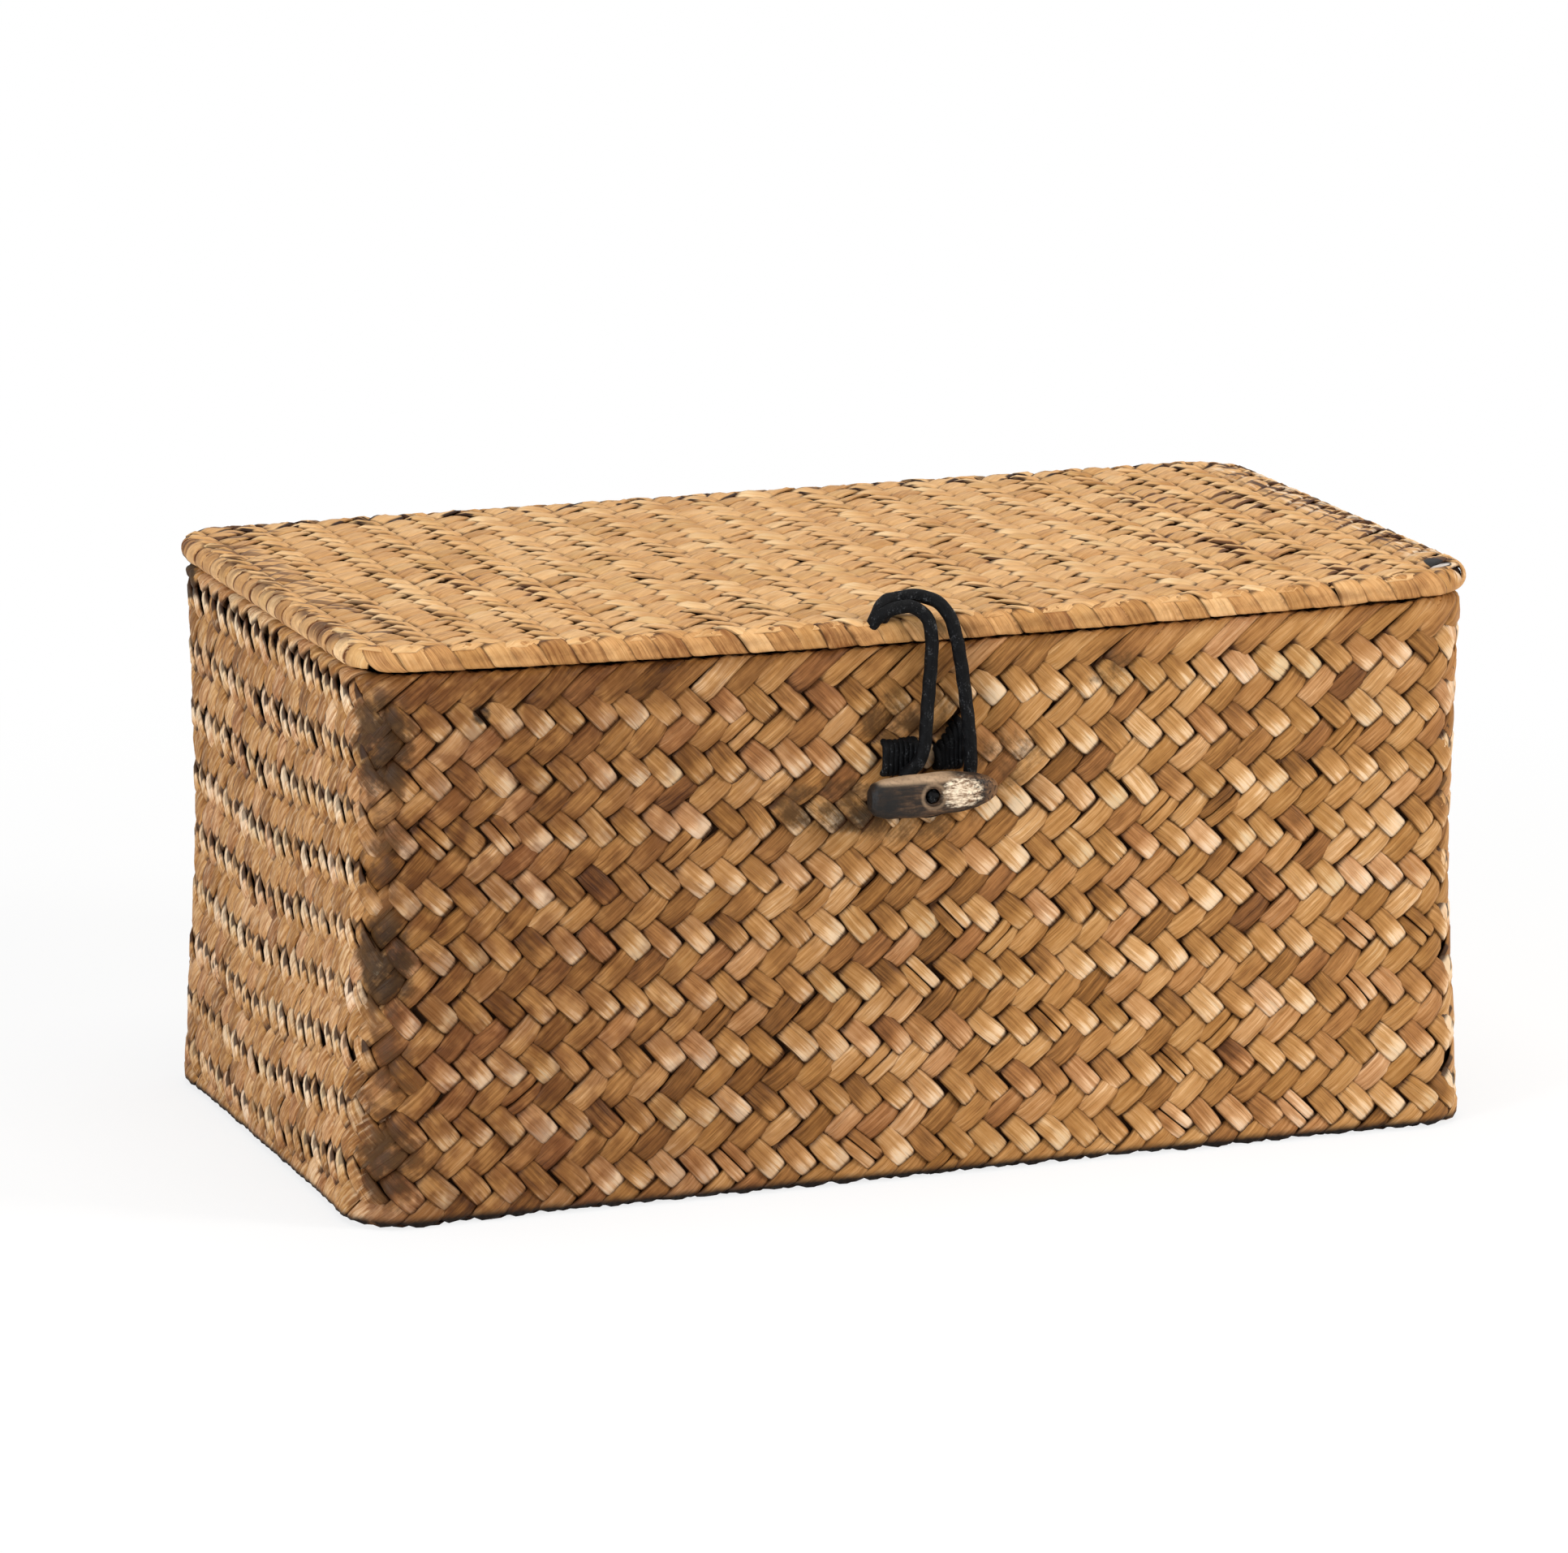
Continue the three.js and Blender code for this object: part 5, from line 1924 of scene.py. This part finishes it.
def finishes():
    """The materials, made once."""
    if not _finishes:
        _finishes.update(
            cord=black_cord("waxed_black_cord"),
            horn=horn("polished_horn"),
            core=plain_core("shadowed_core", srgb(52, 30, 13)),
            lid_core=plain_core("shadowed_lid", srgb(110, 64, 32)),
            wall=straw("wall_straw", STRAW_TONES, STRAW_BLUSH, wall_stains_and_shade),
            lining=straw("lining_straw", STRAW_TONES, STRAW_BLUSH),
            lid=straw("lid_straw", LID_TONES, LID_TONES, lid_marks_and_shade, relief=0.7, seams=0.8),
        )
    return _finishes


class WOVENBOX_PT_panel(bpy.types.Panel):
    """Lists the settings and the makers of each piece"""

    bl_idname = "WOVENBOX_PT_panel"
    bl_label = "Woven box"
    bl_space_type = "VIEW_3D"
    bl_region_type = "UI"
    bl_category = "Woven box"

    def draw(self, context):
        layout = self.layout
        for group in (getattr(context.scene, key) for key in GROUPS):
            for name in group.bl_rna.properties.keys():
                if name not in ("rna_type", "name"):
                    layout.prop(group, name)
        for operator in OPERATORS:
            layout.operator(operator.bl_idname)


GROUPS = {
    "woven_box_weave": WeaveSettings,
    "woven_box_cords": CordSettings,
    "woven_box_stage": StageSettings,
}
OPERATORS = [
    WOVENBOX_OT_stage,
    WOVENBOX_OT_closure_loop,
    WOVENBOX_OT_loop_anchor,
    WOVENBOX_OT_hinge_ties,
    WOVENBOX_OT_toggle_fastenings,
    WOVENBOX_OT_toggle,
    WOVENBOX_OT_wall_core,
    WOVENBOX_OT_walls,
    WOVENBOX_OT_base,
    WOVENBOX_OT_lining,
    WOVENBOX_OT_rim,
    WOVENBOX_OT_lid_border,
    WOVENBOX_OT_lid_mats,
]


def register():
    for group in GROUPS.values():
        bpy.utils.register_class(group)
    for name, group in GROUPS.items():
        setattr(bpy.types.Scene, name, PointerProperty(type=group))
    for operator in OPERATORS:
        bpy.utils.register_class(operator)
    bpy.utils.register_class(WOVENBOX_PT_panel)


def unregister():
    bpy.utils.unregister_class(WOVENBOX_PT_panel)
    for operator in reversed(OPERATORS):
        bpy.utils.unregister_class(operator)
    for name, group in GROUPS.items():
        delattr(bpy.types.Scene, name)
        bpy.utils.unregister_class(group)


def main():
    register()
    for operator in OPERATORS:
        group, name = operator.bl_idname.split(".")
        getattr(getattr(bpy.ops, group), name)()


if __name__ == "__main__":
    main()
